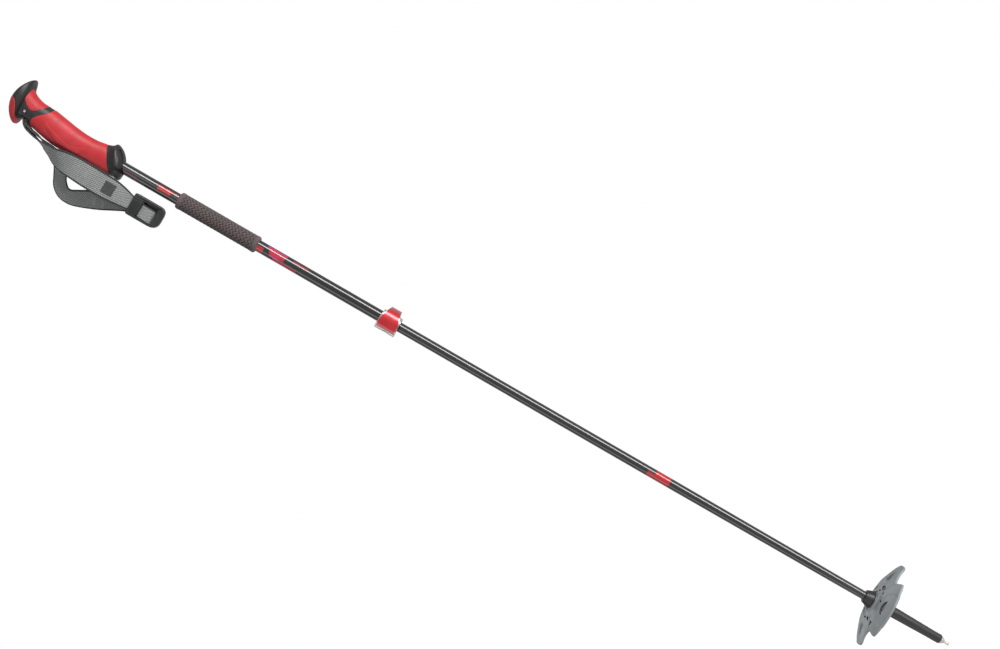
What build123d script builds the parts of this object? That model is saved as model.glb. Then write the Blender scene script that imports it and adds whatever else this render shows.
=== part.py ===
"""Adjustable ski pole: grip with wrist strap, two sliding shafts, lever lock, basket and carbide tip.

Frame: the shafts run along +Z and the origin is the end face of the carbide pin. +X is the front
of the grip, where its beak points, and -X is the palm side, where the strap hangs.
All lengths are millimetres.
"""
from build123d import *
import math
import os

# ---------------------------------------------------------------- driving dimensions
GRIP_Z = 1107.0            # height of the grip's datum, where the collar ends

UPPER_OD = 14.0
UPPER_ID = 12.0
UPPER_BOTTOM_Z = 747.0
UPPER_TOP_Z = GRIP_Z + 114.0

LOWER_OD = 11.6            # constant over the length that slides in the upper shaft
LOWER_END_OD = 10.2        # after the taper, at the ferrule
LOWER_WALL = 1.0
LOWER_TOP_Z = 836.0
TAPER_TOP_Z = 372.0
FERRULE_TOP_Z = 112.9
LOWER_BOTTOM_Z = 62.0
GUIDE_LENGTH = 22.0
GLUE_GAP = 0.05
RUNNING_GAP = 0.05
FREE_GAP = 0.3

FOAM_BOTTOM_Z = 926.0
FOAM_TOP_Z = 1032.0
FOAM_OD = 20.0

FERRULE_END_Z = 11.0
FERRULE_TIP_R = 5.5        # the last stretch is a plain cylinder for a rubber tip cover
TIP_CYLINDER = 14.0
NECK_R = 6.55              # threaded neck under the flare
FLARE_Z = 102.8
FLARE_R = 10.9
FLARE_TOP_R = 7.3

PIN_R = 1.9                # carbide pin, where it shows
PIN_SHANK_R = 1.7          # and where it is brazed into its holder
PIN_TOP_Z = 24.0
HOLDER_END_Z = 6.2

BASKET_R = 52.0
BASKET_RIM_Z = 90.6
BASKET_HUB_Z = 100.4
BASKET_HUB_R = 12.2
BASKET_WALL = 2.4
HUB_TOP_Z = FLARE_Z - FREE_GAP
HUB_BOTTOM_Z = 90.0

LOCK_Z = 749.0
BAND_HEIGHT = 24.0
BAND_R = 9.9
EAR_X = -13.4              # rear end of the clamp's ears
EAR_IN = 0.6               # half the slit between the ears
EAR_THICK = 3.4
SCREW_X = -10.6
AXLE_Y = -7.8
AXLE_R = 1.9
KNUCKLE_R = 3.0
SCREW_R = 1.25
SCREW_HEAD_R = 2.3
WASHER_R = 2.5
LEVER_HEIGHT = 25.6
LEVER_TAB_HEIGHT = 14.0

CORE_R = 9.3               # hard core of the grip, under the rubber
STRAP_PIN_X = 0.0
STRAP_PIN_Z = GRIP_Z + 127.4
STRAP_PIN_R = 1.4
STRAP_THICK = 1.5

# side outline of the grip at stations above the datum: height, rear x, front x, half width
GRIP_STATIONS = [
    (4.0, -15.6, 15.0, 12.8),
    (12.0, -15.9, 14.8, 12.6),
    (27.0, -15.8, 14.6, 12.5),
    (40.0, -16.5, 12.6, 12.7),
    (55.0, -17.8, 12.3, 13.1),
    (70.0, -18.5, 13.8, 13.7),
    (85.0, -18.0, 16.2, 14.0),
    (100.0, -15.6, 18.7, 13.6),
    (112.0, -13.0, 18.8, 13.2),
    (122.0, -11.4, 20.2, 13.2),
    (131.0, -10.6, 24.2, 13.8),
    (138.0, -12.0, 27.0, 14.6),
]


def write(shape, name):
    """Write one node to its STEP file and print its volume."""
    shape.label = name
    export_step(shape, f"parts/{name}.step")
    print(f"{name:18s} {shape.volume:10.1f} mm3")


def rod(radius, bottom, top):
    """Solid cylinder on the pole's axis between two heights."""
    return Pos(0, 0, (bottom + top) / 2) * Cylinder(radius, top - bottom)


def tube(outer, inner, bottom, top):
    """Hollow cylinder on the pole's axis between two heights."""
    return rod(outer, bottom, top) - rod(inner, bottom - 1, top + 1)


def turned(profile):
    """Solid of revolution about the pole's axis from (radius, height) points."""
    outline = make_face(Polyline(*[(r, 0, z) for r, z in profile], close=True))
    return revolve(outline, Axis.Z, 360)


def block(x0, x1, y0, y1, z0, z1):
    """Box between two corners."""
    size = Box(x1 - x0, y1 - y0, z1 - z0)
    return Pos((x0 + x1) / 2, (y0 + y1) / 2, (z0 + z1) / 2) * size


def side_prism(points, half_width=40.0):
    """Prism across the grip whose side view is the polygon of (x, height above the datum) points."""
    outline = make_face(Polyline(*[(x, half_width, GRIP_Z + z) for x, z in points], close=True))
    return extrude(outline, amount=2 * half_width, dir=(0, -1, 0))


# ---------------------------------------------------------------- shafts
def upper_shaft():
    """Plain tube from the clamp up into the grip."""
    return tube(UPPER_OD / 2, UPPER_ID / 2, UPPER_BOTTOM_Z, UPPER_TOP_Z)


def lower_shaft():
    """Tube that is straight where it slides and tapers to the ferrule."""
    outer = [
        (LOWER_END_OD / 2, LOWER_BOTTOM_Z),
        (LOWER_END_OD / 2, FERRULE_TOP_Z),
        (LOWER_OD / 2, TAPER_TOP_Z),
        (LOWER_OD / 2, LOWER_TOP_Z),
    ]
    inner = [(r - LOWER_WALL, z) for r, z in reversed(outer)]
    return turned(outer + inner)


def shaft_guide():
    """Plastic guide that centres the top of the lower shaft in the upper one."""
    head_top = LOWER_TOP_Z + 6.0
    plug_r = LOWER_OD / 2 - LOWER_WALL - GLUE_GAP
    head = rod(UPPER_ID / 2 - RUNNING_GAP, LOWER_TOP_Z, head_top)
    plug = rod(plug_r, LOWER_TOP_Z - GUIDE_LENGTH, LOWER_TOP_Z)
    vent = rod(2.0, LOWER_TOP_Z - GUIDE_LENGTH - 1, head_top + 1)
    return head + plug - vent


def foam_grip():
    """Foam sleeve below the grip, with rounded ends."""
    sleeve = tube(FOAM_OD / 2, UPPER_OD / 2 + GLUE_GAP, FOAM_BOTTOM_Z, FOAM_TOP_Z)
    ends = sleeve.edges().filter_by(GeomType.CIRCLE).filter_by(lambda e: e.radius > FOAM_OD / 2 - 0.1)
    return fillet(ends, 2.2)


# ---------------------------------------------------------------- tip and basket
def tip_ferrule():
    """Moulded ferrule: plain end, tapered body, threaded neck and the flare that stops the basket."""
    cylinder_top = FERRULE_END_Z + TIP_CYLINDER
    body = turned([
        (0, FERRULE_END_Z),
        (FERRULE_TIP_R - 0.9, FERRULE_END_Z),
        (FERRULE_TIP_R, FERRULE_END_Z + 0.9),
        (FERRULE_TIP_R, cylinder_top),
        (NECK_R, HUB_BOTTOM_Z - 14.0),
        (NECK_R, FLARE_Z + 1.5),
        (FLARE_R - 0.4, FLARE_Z),
        (FLARE_R, FLARE_Z + 0.8),
        (FLARE_R - 0.3, FLARE_Z + 2.0),
        (FLARE_TOP_R + 0.5, FERRULE_TOP_Z - 0.9),
        (FLARE_TOP_R - 0.3, FERRULE_TOP_Z),
        (0, FERRULE_TOP_Z),
    ])
    socket = rod(LOWER_END_OD / 2 + GLUE_GAP, LOWER_BOTTOM_Z - GLUE_GAP, FERRULE_TOP_Z + 1)
    shank = rod(3.2 + GLUE_GAP, FERRULE_END_Z - 1, 30.0 + GLUE_GAP)
    return body - socket - shank


def tip_holder():
    """Steel holder in the ferrule's end, with the cone that carries the carbide pin."""
    body = turned([
        (0, HOLDER_END_Z),
        (2.3, HOLDER_END_Z),
        (4.1, 9.2),
        (4.5, 9.5),
        (4.5, FERRULE_END_Z - GLUE_GAP),
        (3.2, FERRULE_END_Z - GLUE_GAP),
        (3.2, 30.0),
        (0, 30.0),
    ])
    return body - rod(PIN_SHANK_R + 0.01, 5.0, PIN_TOP_Z + GLUE_GAP)


def carbide_pin():
    """Hard pin with a hollow end that bites on ice."""
    pin = rod(PIN_R, 0.0, HOLDER_END_Z) + rod(PIN_SHANK_R, HOLDER_END_Z, PIN_TOP_Z)
    hollow = turned([(0, -0.5), (PIN_R - 0.35, -0.5), (PIN_R - 0.35, 0.0), (0.5, 0.9), (0, 0.9)])
    return pin - hollow


def basket_outline():
    """Plan of the basket: a far arc, a broad lobe each side, and a near sector between two notches."""
    tooth = (34.0, -39.4)
    notch = (30.4, -26.6)
    lobe_front = (48.6, -14.0)
    lobe_end = (BASKET_R, -2.0)
    lobe_back = (48.0, 12.0)
    step = (30.6, 23.4)
    shoulder = (27.6, 40.0)
    far = 49.6

    edges = []
    for side in (1, -1):
        def at(x, y):
            return (side * x, y)

        edges += [
            ThreePointArc(at(*tooth), at(BASKET_R * 0.34, -BASKET_R * 0.94), (0, -BASKET_R)),
            Line(at(*tooth), at(*notch)),
            ThreePointArc(at(*notch), at(39.5, -19.2), at(*lobe_front)),
            ThreePointArc(at(*lobe_front), at(*lobe_end), at(*lobe_back)),
            ThreePointArc(at(*lobe_back), at(39.6, 16.0), at(*step)),
            ThreePointArc(at(*step), at(28.0, 31.0), at(*shoulder)),
            ThreePointArc(at(*shoulder), at(far * 0.3, far * 0.96), (0, far)),
        ]
    return make_face(Wire(edges))


def dome(lift, wall):
    """Shallow dome of revolution, its top face raised by lift and wall thick."""
    rise = BASKET_HUB_Z - BASKET_RIM_Z
    outer_r = BASKET_R + 4.0

    def height(radius):
        share = (radius - BASKET_HUB_R) / (BASKET_R - BASKET_HUB_R)
        return BASKET_RIM_Z + rise * (1 - share * share) + lift

    mid_r = (BASKET_HUB_R + outer_r) / 2
    start, middle, end = 6.0, mid_r, outer_r
    top = ThreePointArc((start, 0, height(BASKET_HUB_R)), (middle, 0, height(middle)), (end, 0, height(end)))
    low = ThreePointArc(
        (start, 0, height(BASKET_HUB_R) - wall),
        (middle, 0, height(middle) - wall),
        (end, 0, height(end) - wall),
    )
    sides = [Line(top @ 0, low @ 0), Line(top @ 1, low @ 1)]
    return revolve(make_face(Wire([top, low] + sides)), Axis.Z, 360)


def upright(sketch):
    """Cutter that stands through the basket from a plan sketch."""
    return extrude(Pos(0, 0, 70) * sketch, amount=50)


def basket():
    """Snow basket: domed web cut to its outline, hub with its bore, raised front rib and openings."""
    web = dome(0.0, BASKET_WALL) & upright(basket_outline())
    rib_ring = Pos(0, -45.0) * (Circle(21.0) - Circle(18.0))
    rib = dome(1.0, BASKET_WALL + 0.5) & upright(rib_ring) & upright(basket_outline())
    hub = rod(BASKET_HUB_R, HUB_BOTTOM_Z, HUB_TOP_Z - 1.2)
    hub_lip = rod(BASKET_HUB_R - 2.6, HUB_BOTTOM_Z, HUB_TOP_Z)
    body = web + rib + hub + hub_lip

    body -= upright(Pos(0, -38.0) * (Ellipse(9.0, 6.4) & Pos(0, 6.2) * Rectangle(30, 16)))
    body -= upright(Pos(19.0, -9.5) * Circle(2.5))
    body -= upright(Pos(-19.5, -3.0) * SlotOverall(5.0, 1.6))
    body -= upright(Pos(-19.5, -11.5) * SlotOverall(5.0, 1.6))
    body -= upright(Pos(15.0, 14.0) * Rot(0, 0, -40) * SlotOverall(8.0, 2.0))
    body -= upright(Pos(-15.0, 14.0) * Rot(0, 0, 40) * SlotOverall(8.0, 2.0))
    long_slot = SlotArc(CenterArc((0, 0), 24.0, 218, 40), 1.8)
    body -= upright(long_slot)
    for side in (1, -1):
        body -= upright(make_face(Polyline((side * 31, 5), (side * 41, -1), (side * 32, -1), close=True)))
        body -= upright(make_face(Polyline((side * 14, -25), (side * 20, -25), (side * 19, -29), close=True)))
    return body - rod(NECK_R + RUNNING_GAP, HUB_BOTTOM_Z - 5, HUB_TOP_Z + 5)


# ---------------------------------------------------------------- lever lock
def clamp_band():
    """Split band: its upper half sits on the upper shaft, its lower half closes on the lower one."""
    bottom = LOCK_Z - BAND_HEIGHT / 2
    top = LOCK_Z + BAND_HEIGHT / 2
    band = rod(BAND_R, bottom, top)
    ears = block(EAR_X, 0, -EAR_IN - EAR_THICK, EAR_IN + EAR_THICK, bottom + 1, top - 1)
    body = band + ears
    body -= rod(UPPER_OD / 2 + GLUE_GAP, UPPER_BOTTOM_Z - GLUE_GAP, top + 1)
    body -= rod(LOWER_OD / 2 + RUNNING_GAP, bottom - 1, UPPER_BOTTOM_Z)
    body -= block(EAR_X - 1, -3, -EAR_IN, EAR_IN, bottom - 1, top + 1)
    screw_hole = Cylinder(SCREW_R + RUNNING_GAP, 30, rotation=(90, 0, 0))
    body -= Pos(SCREW_X, 0, LOCK_Z) * screw_hole
    ear_face = EAR_IN + EAR_THICK
    seat = Cylinder(WASHER_R + FREE_GAP, 12, rotation=(90, 0, 0))
    return body - Pos(SCREW_X, ear_face + 6.0, LOCK_Z) * seat


def clamp_axle():
    """Cross pin on which the lever turns, tapped for the tension screw."""
    pin = Pos(SCREW_X, AXLE_Y, LOCK_Z) * Cylinder(AXLE_R, LEVER_HEIGHT - 1.0)
    hole = Pos(SCREW_X, AXLE_Y, LOCK_Z) * Cylinder(SCREW_R + 0.02, 12, rotation=(90, 0, 0))
    return pin - hole


def clamp_washer():
    """Washer under the screw's head."""
    ear_face = EAR_IN + EAR_THICK
    ring = Cylinder(WASHER_R, 0.8, rotation=(90, 0, 0)) - Cylinder(SCREW_R + RUNNING_GAP, 3, rotation=(90, 0, 0))
    return Pos(SCREW_X, ear_face + 0.42, LOCK_Z) * ring


def tension_screw():
    """Cap screw through both ears into the axle, with a hexagon socket."""
    ear_face = EAR_IN + EAR_THICK
    head_y = ear_face + 0.84
    stem_end = AXLE_Y - AXLE_R + 0.4
    stem = Cylinder(SCREW_R, head_y - stem_end, rotation=(90, 0, 0))
    stem = Pos(SCREW_X, (head_y + stem_end) / 2, LOCK_Z) * stem
    head = Pos(SCREW_X, head_y + 1.3, LOCK_Z) * Cylinder(SCREW_HEAD_R, 2.6, rotation=(90, 0, 0))
    plane = Plane((SCREW_X, head_y + 2.6, LOCK_Z), z_dir=(0, 1, 0))
    socket = extrude(plane * RegularPolygon(1.25, 6), amount=-1.5)
    return stem + head - socket


def lock_lever():
    """Lever: two knuckles on the axle and a plate that wraps the band and narrows to its tab."""
    bottom = LOCK_Z - LEVER_HEIGHT / 2
    inner = Spline((-10.0, -9.9), (-6.0, -10.9), (1.0, -11.3), (8.8, -8.2), (12.4, -1.0), (13.6, 9.6))
    outer = Spline((-11.8, -10.6), (-6.0, -13.0), (2.0, -13.6), (10.6, -10.0), (14.8, -2.0), (16.6, 9.8))
    plan = make_face(Wire([inner, outer, Line(inner @ 0, outer @ 0), Line(inner @ 1, outer @ 1)]))
    plate = extrude(Pos(0, 0, bottom) * plan, amount=LEVER_HEIGHT)

    half = LEVER_HEIGHT / 2
    tab_half = LEVER_TAB_HEIGHT / 2
    shape = make_face(Polyline(
        (-20, -20, LOCK_Z - half), (3, -20, LOCK_Z - half), (16.6, -20, LOCK_Z - tab_half),
        (16.6, -20, LOCK_Z + tab_half), (3, -20, LOCK_Z + half), (-20, -20, LOCK_Z + half), close=True))
    plate = plate & extrude(shape, amount=40, dir=(0, 1, 0))

    knuckle = Pos(SCREW_X, AXLE_Y, LOCK_Z) * Cylinder(KNUCKLE_R, LEVER_HEIGHT)
    body = plate + knuckle
    body -= Pos(SCREW_X, AXLE_Y, LOCK_Z) * Cylinder(AXLE_R + RUNNING_GAP, LEVER_HEIGHT + 2)
    clear = SCREW_R + 1.2
    return body - block(EAR_X - 3, SCREW_X + KNUCKLE_R + 0.6, -10.8, 0, LOCK_Z - clear, LOCK_Z + clear)


# ---------------------------------------------------------------- grip
SLEEVE_SIDE = [(-30, 0.7), (-30, 117.0), (-3.4, 117.0), (22.0, 98.0), (22.0, 31.4)]
BAND_SIDE = [(-30, 117.3), (-3.2, 117.3), (22.0, 98.5), (28.0, 104.0), (28.0, 134.0), (-30, 134.0)]
PAD_SIDE = [(26.0, 101.8), (4.9, 119.3), (4.6, 122.6), (6.3, 127.6), (9.2, 131.2), (12.0, 132.7), (27.0, 132.7),
            (27.0, 110.0)]
COLLAR_SLOPE = 26.5
COLLAR_TOP_SLOPE = 30.5


def grip_envelope():
    """Whole outer form of the grip's stem, through its elliptical stations."""
    rings = []
    for height, rear, front, half in GRIP_STATIONS:
        ring = Ellipse((front - rear) / 2, half)
        rings.append(Pos((front + rear) / 2, 0, GRIP_Z + height) * ring)
    return loft(rings)


def cap_envelope():
    """Mushroom head with its beak: side view, plan and front view cut from one another."""
    top = Spline((-18.6, 0, 135.4), (-15.0, 0, 141.0), (-4.0, 0, 148.3), (8.0, 0, 150.9),
                 (21.0, 0, 148.6), (32.0, 0, 143.4), (37.8, 0, 136.6))
    low = Polyline((37.8, 0, 136.6), (34.0, 0, 133.5), (27.5, 0, 132.9), (-12.0, 0, 132.9), (-17.0, 0, 133.4),
                   (-18.6, 0, 135.4))
    side = extrude(Pos(0, 30, GRIP_Z) * make_face(Wire([top] + low.edges())), amount=60, dir=(0, -1, 0))
    plan = extrude(Pos(9.6, 0, GRIP_Z + 125) * Ellipse(28.2, 21.8), amount=40)
    front = Plane((-25, 0, GRIP_Z + 136.0), x_dir=(0, 1, 0), z_dir=(1, 0, 0)) * Ellipse(22.0, 16.2)
    return side & plan & extrude(front, amount=70)


def strap_cavity():
    """Space in the head for the strap's end, open at the rear."""
    return block(-24.0, 4.6, -9.6, 9.6, GRIP_Z + 118.6, GRIP_Z + 131.0)


CROWN_SIDE = [(-24, 132.0), (-12.2, 132.0), (-11.2, 133.6), (-5.0, 135.6), (0.0, 137.2), (5.0, 139.8), (8.4, 143.6),
              (8.4, 147.0), (7.4, 156.0), (-24, 156.0)]
FRAME_CAP_SIDE = [(-12.0, 131.0), (-11.0, 133.4), (-4.9, 135.4), (0.2, 137.0), (5.3, 139.6), (8.6, 143.5),
                  (8.6, 147.0), (7.6, 156.0), (42, 156.0), (42, 131.0)]


def strap_pin_cutter(gap):
    """Cylinder across the head for the strap pin, gap wider than the pin."""
    cut = Cylinder(STRAP_PIN_R + gap, 60, rotation=(90, 0, 0))
    return Pos(STRAP_PIN_X, 0, STRAP_PIN_Z) * cut


def grip_frame(stem, cap):
    """Hard frame: core tube, cross band, neck and the beaked head."""
    core = rod(CORE_R - GLUE_GAP, GRIP_Z + 24.0, GRIP_Z + 133.2)
    neck = stem & side_prism(BAND_SIDE)
    head = cap & side_prism(FRAME_CAP_SIDE)
    body = core + ((neck + head) - side_prism(PAD_SIDE))
    body -= rod(UPPER_OD / 2 + GLUE_GAP, GRIP_Z, UPPER_TOP_Z + 0.5)
    body -= strap_cavity()
    return body - strap_pin_cutter(0.01)


def grip_front_pad(stem):
    """Soft pad under the beak."""
    return (stem & side_prism(PAD_SIDE)) - rod(CORE_R + GLUE_GAP, GRIP_Z, GRIP_Z + 140)


def grip_crown_pad(cap):
    """Soft pad over the rear of the head."""
    return cap & side_prism(CROWN_SIDE)


def grip_sleeve(stem):
    """Main rubber sleeve for the palm and fingers."""
    return (stem & side_prism(SLEEVE_SIDE)) - rod(CORE_R + GLUE_GAP, GRIP_Z, GRIP_Z + 140)


def tilted_ellipse(x, z, length, width, slope):
    """Ellipse on a plane across the grip that rises towards the front."""
    rise = math.radians(slope)
    plane = Plane((x, 0, GRIP_Z + z), x_dir=(math.cos(rise), 0, math.sin(rise)),
                  z_dir=(-math.sin(rise), 0, math.cos(rise)))
    return plane * Ellipse(length / 2, width / 2)


def grip_collar():
    """Hard collar that flares to a tilted rim, with two drain slots in its rounded lower face."""
    top = tilted_ellipse(-0.5, 18.0, 35.0, 25.2, COLLAR_TOP_SLOPE)
    rim_top = tilted_ellipse(2.0, 9.6, 39.6, 34.0, COLLAR_SLOPE)
    rim_low = tilted_ellipse(2.4, 6.6, 40.6, 35.2, COLLAR_SLOPE)
    face = tilted_ellipse(1.6, 2.4, 33.0, 29.0, 22.0)
    foot = tilted_ellipse(0.4, -0.8, 19.0, 18.4, 17.0)
    rings = [top, rim_top, rim_low, face, foot]
    body = loft(rings[:2], ruled=True)
    for lower, upper in zip(rings[2:], rings[1:]):
        body += loft([upper, lower], ruled=True)
    body -= rod(UPPER_OD / 2 + GLUE_GAP, GRIP_Z - 10, GRIP_Z + 40)
    body -= rod(CORE_R + GLUE_GAP, GRIP_Z + 23.9, GRIP_Z + 40)
    for side in (1, -1):
        slot = Pos(11.6, side * 8.6, GRIP_Z + 3.0) * Rot(0, -COLLAR_SLOPE, 0) * Box(11.0, 2.6, 12.0)
        body -= slot
    return body


def strap_pin():
    """Steel pin across the head, through the strap's end."""
    return Pos(STRAP_PIN_X, 0, STRAP_PIN_Z) * Cylinder(STRAP_PIN_R, 26.4, rotation=(90, 0, 0))


# ---------------------------------------------------------------- strap
# stations of each strand: x, y, height above the datum, width, turn of the face from -X towards -Y
STRAP_Z = -1.6              # the stations' heights are from here
FRONT_STRAND = [
    (-16.6, 0.0, 121.5, 17.0, 0.0),
    (-19.2, 0.0, 112.0, 18.0, 0.0),
    (-21.8, -0.5, 103.0, 19.0, 6.0),
    (-24.6, -2.2, 94.0, 20.5, 22.0),
    (-26.6, -4.5, 84.0, 22.8, 36.0),
    (-28.8, -6.8, 73.0, 25.0, 52.0),
    (-28.8, -8.2, 61.0, 26.4, 70.0),
    (-28.4, -9.0, 48.0, 27.0, 82.0),
    (-29.0, -9.2, 30.0, 27.4, 90.0),
    (-29.4, -9.0, 12.0, 27.4, 90.0),
    (-29.5, -8.2, -4.0, 26.0, 90.0),
    (-30.0, -6.6, -16.0, 22.4, 90.0),
    (-30.9, -4.6, -29.0, 17.6, 90.0),
]
REAR_STRAND = [
    (-14.4, 0.0, 118.6, 17.0, 0.0),
    (-16.8, 0.4, 108.0, 18.0, 0.0),
    (-19.4, 1.6, 98.0, 18.6, 8.0),
    (-22.0, 4.0, 87.0, 19.0, 20.0),
]
LOOP_STRAND = [
    (-25.6, 7.0, 78.0, 19.0, 34.0),
    (-30.4, 9.6, 71.5, 18.0, 60.0),
    (-37.6, 11.4, 67.4, 16.6, 80.0),
    (-46.2, 12.4, 63.4, 16.0, 85.0),
    (-55.0, 12.8, 58.0, 17.4, 80.0),
    (-60.6, 12.8, 50.0, 18.6, 68.0),
    (-61.2, 12.4, 41.0, 20.0, 62.0),
    (-57.6, 11.8, 31.0, 22.0, 62.0),
    (-52.9, 10.4, 20.6, 23.0, 66.0),
    (-47.6, 8.0, 8.0, 22.0, 74.0),
    (-40.6, 4.4, -8.6, 19.4, 82.0),
    (-36.0, 2.0, -20.0, 17.8, 88.0),
    (-32.8, 0.4, -30.0, 17.2, 90.0),
]
BUCKLE_X = -30.8
BUCKLE_Y = -1.8
BUCKLE_TOP = -29.4
BUCKLE_BOTTOM = -70.4
BUCKLE_WIDTH = 27.4
BUCKLE_DEPTH = 11.0


def strand(stations):
    """Flat webbing: thin rectangles across a path, joined by straight-sided lofts."""
    count = len(stations)
    sections = []
    for index, (x, y, z, width, turn) in enumerate(stations):
        before = stations[max(index - 1, 0)]
        after = stations[min(index + 1, count - 1)]
        along = Vector(after[0] - before[0], after[1] - before[1], after[2] - before[2]).normalized()
        angle = math.radians(turn)
        face = Vector(-math.cos(angle), -math.sin(angle), 0)
        face = (face - along * face.dot(along)).normalized()
        plane = Plane((x, y, GRIP_Z + STRAP_Z + z), x_dir=along.cross(face), z_dir=along)
        sections.append(plane * Rectangle(width, STRAP_THICK))
    return loft(sections, ruled=True)


def strap_anchor():
    """Sewn eye of the strap round the pin, with the stub that reaches the mouth of the head."""
    eye = Cylinder(STRAP_PIN_R + RUNNING_GAP + STRAP_THICK, 17.0, rotation=(90, 0, 0))
    eye = Pos(STRAP_PIN_X, 0, STRAP_PIN_Z) * eye
    pin_z = STRAP_PIN_Z
    lead = make_face(Polyline(
        (0.6, 8.5, pin_z - 1.8), (-11.8, 8.5, pin_z - 5.6), (-12.8, 8.5, pin_z - 2.4),
        (-0.6, 8.5, pin_z + 1.4), close=True))
    return eye + extrude(lead, amount=17.0, dir=(0, -1, 0)) - strap_pin_cutter(RUNNING_GAP)


def strap_buckle():
    """Moulded slide buckle: ribbed bar, window, slot and a rounded lip."""
    tall = BUCKLE_TOP - BUCKLE_BOTTOM
    centre = Pos(BUCKLE_X, BUCKLE_Y, GRIP_Z + (BUCKLE_TOP + BUCKLE_BOTTOM) / 2)
    face = Plane((0, BUCKLE_DEPTH / 2, 0), x_dir=(1, 0, 0), z_dir=(0, -1, 0))
    plate = centre * extrude(face * RectangleRounded(BUCKLE_WIDTH, tall, 4.0), amount=BUCKLE_DEPTH)
    left = BUCKLE_X - BUCKLE_WIDTH / 2
    right = BUCKLE_X + BUCKLE_WIDTH / 2
    window = block(left + 2.4, right - 4.4, -12, 8, GRIP_Z - 61.8, GRIP_Z - 41.8)
    mouth_front = block(-40.4, -21.4, -6.0, -3.2, GRIP_Z - 42.8, GRIP_Z - 28.0)
    mouth_rear = block(-43.7, -22.6, -1.4, 2.8, GRIP_Z - 42.8, GRIP_Z - 28.0)
    return plate - window - mouth_front - mouth_rear


def strap_tail():
    """Webbing inside the buckle, round its hidden bar, showing in the window."""
    return block(-41.8, -24.6, -4.6, -3.0, GRIP_Z - 61.2, GRIP_Z - 42.2)


def main():
    """Write every node."""
    os.makedirs("parts", exist_ok=True)
    stem = grip_envelope()
    cap = cap_envelope()
    write(grip_frame(stem, cap), "grip_frame")
    write(grip_front_pad(stem), "grip_front_pad")
    write(grip_crown_pad(cap), "grip_crown_pad")
    write(grip_sleeve(stem), "grip_sleeve")
    write(grip_collar(), "grip_collar")
    write(strap_pin(), "strap_pin")
    write(upper_shaft(), "upper_shaft")
    write(foam_grip(), "foam_grip")
    write(clamp_band(), "clamp_band")
    write(clamp_axle(), "clamp_axle")
    write(clamp_washer(), "clamp_washer")
    write(tension_screw(), "tension_screw")
    write(lock_lever(), "lock_lever")
    write(lower_shaft(), "lower_shaft")
    write(shaft_guide(), "shaft_guide")
    write(tip_ferrule(), "tip_ferrule")
    write(tip_holder(), "tip_holder")
    write(carbide_pin(), "carbide_pin")
    write(basket(), "basket")
    write(strap_anchor(), "strap_anchor")
    write(strand(FRONT_STRAND), "strap_front")
    write(strand(REAR_STRAND + LOOP_STRAND), "strap_rear")
    write(strap_tail(), "strap_tail")
    write(strap_buckle(), "strap_buckle")


main()
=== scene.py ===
"""Looks of an adjustable ski pole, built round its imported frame.

The shafts run along +Z, +X is the side the grip's beak points to, and lengths below are millimetres
until a mesh is made. Heights on the grip and the strap are measured from the collar's lower end.
"""
import logging
import math
from dataclasses import dataclass
from enum import Enum
from typing import Any, Callable, Optional, Sequence

import bmesh
import bpy
import numpy as np
from mathutils import Matrix


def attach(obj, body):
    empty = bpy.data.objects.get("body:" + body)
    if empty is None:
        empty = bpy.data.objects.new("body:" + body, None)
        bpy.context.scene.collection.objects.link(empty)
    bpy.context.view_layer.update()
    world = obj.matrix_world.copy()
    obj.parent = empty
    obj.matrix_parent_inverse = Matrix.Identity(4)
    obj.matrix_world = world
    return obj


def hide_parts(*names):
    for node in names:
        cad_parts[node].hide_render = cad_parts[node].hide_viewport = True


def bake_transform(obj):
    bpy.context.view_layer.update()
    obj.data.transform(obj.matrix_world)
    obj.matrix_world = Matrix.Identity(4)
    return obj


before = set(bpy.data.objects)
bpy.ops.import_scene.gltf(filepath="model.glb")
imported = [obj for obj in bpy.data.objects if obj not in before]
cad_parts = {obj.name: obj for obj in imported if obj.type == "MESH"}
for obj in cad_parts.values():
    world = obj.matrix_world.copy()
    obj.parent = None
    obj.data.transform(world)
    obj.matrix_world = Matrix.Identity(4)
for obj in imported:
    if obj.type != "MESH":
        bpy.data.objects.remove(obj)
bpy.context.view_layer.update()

LOG = logging.getLogger("ski_pole")
MM = 0.001
GRIP_Z = 1107.0
TAU = 2.0 * math.pi
MOST_CUT = 0.49
MERGE_DISTANCE = 2e-7
Array = np.ndarray
Colour = tuple[float, float, float]


# ---------------------------------------------------------------- curves and grids
def smooth(at: Array, knots: Sequence[float], values: Sequence[Any]) -> Array:
    """Cubic Hermite curve through the values at the knots, with slopes from the neighbouring values.

    Args:
        at: where the curve is wanted, any shape; held at the end values outside the knots.
        knots: rising positions of the values.
        values: a number, or a row of numbers, for each knot.

    Returns:
        The curve at each place, with one more axis where the values are rows.
    """
    k = np.asarray(knots, float)
    v = np.asarray(values, float)
    slope = np.gradient(v, k, axis=0)
    place = np.clip(np.asarray(at, float), k[0], k[-1])
    low = np.clip(np.searchsorted(k, place, side="right") - 1, 0, len(k) - 2)
    width = k[low + 1] - k[low]
    s = (place - k[low]) / width
    if v.ndim > 1:
        s, width = s[..., None], width[..., None]
    near = (1 + 2 * s) * (1 - s) ** 2 * v[low] + s * (1 - s) ** 2 * width * slope[low]
    return near + s * s * (3 - 2 * s) * v[low + 1] + s * s * (s - 1) * width * slope[low + 1]


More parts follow.
